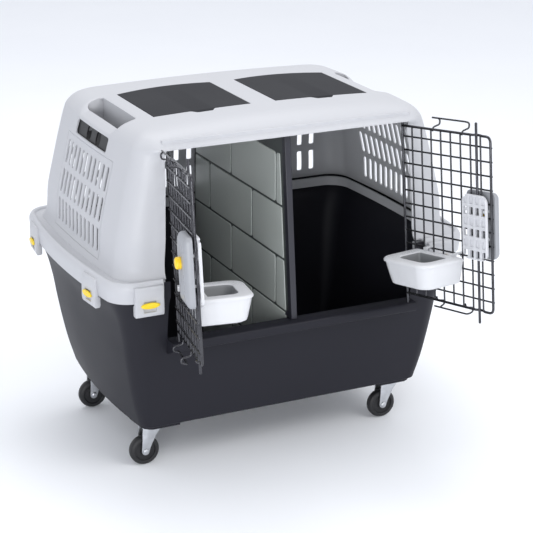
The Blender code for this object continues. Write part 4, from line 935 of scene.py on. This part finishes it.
latches = []
for sx, tag_x in SIDES:
    for sy, tag_y in ((-1, "front"), (1, "back")):
        latches.append((tag_y + "_" + tag_x, (sx * LATCH_X, sy * HY), math.pi * (sy < 0), .0125))
        inner, outer = end_x(LATCH_Y - FLAP_W / 2), end_x(LATCH_Y + FLAP_W / 2)
        slant = math.atan((inner - outer) / FLAP_W)
        latches.append(("end_" + tag_x + "_" + tag_y, (sx * (inner + outer) / 2, sy * LATCH_Y),
                        -sx * (math.pi / 2 - sy * slant), .0095))
for tag, (x, y), turn, proud in latches:
    stand = Matrix.Translation((x, y + SET_BACK, 0)) @ Matrix.Rotation(turn, 4, "Z")
    flap = piece("flap_" + tag, flap_mesh(proud), SHELL)
    cut(flap, prism("pocket", oval(-.0125, .0125, SKIRT_Z - .0161, SKIRT_Z + .0059, .0020, 4), "y",
                    proud - .0042, proud + .0100))
    eased_edges(flap, .0009)
    settle(flap)
    placed_mesh("flap_" + tag, flap.data, stand)
    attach(flap, "latch_" + tag)
    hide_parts("latch_plate_" + tag)
    piece("slider_" + tag, placed_mesh("slider", slider_mesh(proud), stand), TIP, "slider_" + tag,
          ("latch_slider_" + tag,))


# Swivel casters: black top plates, pressed zinc-plated forks, black wheels and
# riveted axles.  All four have swung the same way.

ZINC = Finish("zinc_steel", Metallic=1.0)
bloom, fleck = ZINC.noise(90.0, 3.0), ZINC.noise(500.0, 2.0)
ZINC.feed(Base_Color=ZINC.mix(bloom, tone(176, 178, 182), tone(214, 216, 220)), Roughness=bloom * 0.16 + 0.24)
ZINC.bump((fleck, 0.00003))
RUBBER = moulded("wheel_rubber", tone(24, 24, 27), 0.52, spread=0.15, grain=0.00008)
BLACK = moulded("caster_black", tone(28, 28, 31), 0.46, spread=0.12)

FORK_Z, AXLE_AT, FORK_W = 0.0842, (-.0159, 0, -.0532), 0.0276
FORK = np.array(((.0170, 0.0), (-.0200, 0.0), (-.0214, -.0030), (-.0225, -.0142), (-.0250, -.0512),
                 (-.0243, -.0552), (-.0225, -.0584), (-.0196, -.0603), (-.0165, -.0610), (-.0132, -.0602),
                 (-.0104, -.0582),
                 (-.0084, -.0520), (-.0060, -.0442), (.0060, -.0202), (.0140, -.0092), (.0170, -.0062)))
WHEEL_HALF = ((.0045, .0098), (.0098, .0098), (.0105, .0091), (.0108, .0066), (.0120, .0062), (.0204, .0062),
              (.0212, .0070), (.0216, .0092), (.0224, .0098), (.0246, .0096), (.0276, .0086), (.0298, .0068),
              (.0308, .0044), (.0310, .0016))
WHEEL = [(r, -h) for r, h in WHEEL_HALF] + list(WHEEL_HALF[::-1])
RIVET = [(.0003, .0168), (.0036, .0166), (.0054, .0158), (.0065, .0144), (.0065, .0142), (.0039, .0142)]
RIVET = [(r, -h) for r, h in RIVET] + RIVET[::-1]
PLATE = ((.0003, -.0060), (.0075, -.0060), (.0075, .0004), (.0215, .0004), (.0225, .0014), (.0225, .0098),
         (.0003, .0098))
for sx, tag_x in SIDES:
    for sy, tag_y in ((-1, "front"), (1, "back")):
        tag = tag_y + "_" + tag_x
        stem = Matrix.Translation((sx * CASTER_X, sy * CASTER_Y + SET_BACK, FORK_Z))
        axle = stem @ Matrix.Translation(AXLE_AT) @ Matrix.Rotation(math.pi / 2, 4, "X")
        piece("caster_top_" + tag, placed_mesh("caster_top", turned("caster_top", PLATE), stem), BLACK, "crate",
              ("caster_plate_" + tag,))
        fork = piece("fork_" + tag, prism("fork", FORK, "y", -FORK_W / 2, FORK_W / 2), ZINC)
        cut(fork, prism("gap", ((-.060, -.090), (.060, -.090), (.060, -.0028), (-.060, -.0028)), "y",
                        .0024 - FORK_W / 2, FORK_W / 2 - .0024))
        eased_edges(fork, .0008)
        settle(fork)
        placed_mesh("fork_" + tag, fork.data, stem)
        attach(fork, "fork_" + tag)
        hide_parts("caster_fork_" + tag)
        piece("wheel_" + tag, placed_mesh("wheel", turned("wheel", WHEEL, 48), axle), RUBBER, "wheel_" + tag,
              ("caster_wheel_" + tag,))
        piece("axle_" + tag, placed_mesh("axle", turned("axle", RIVET, 24), axle), ZINC, "fork_" + tag,
              ("caster_axle_" + tag,))


# Backdrop: a plain pale floor, out of the crate's way on every side.

FLOOR = Finish("floor")
FLOOR.feed(Base_Color=FLOOR.mix(FLOOR.noise(2.0), tone(244, 246, 250), tone(248, 250, 253)), Roughness=0.75)
floor = bpy.data.meshes.new("floor")
floor.from_pydata([(-30, -30, 0), (30, -30, 0), (30, 30, 0), (-30, 30, 0)], [], [(0, 1, 2, 3)])
floor.materials.append(FLOOR.material)
floor = bpy.data.objects.new("floor", floor)
bpy.context.scene.collection.objects.link(floor)
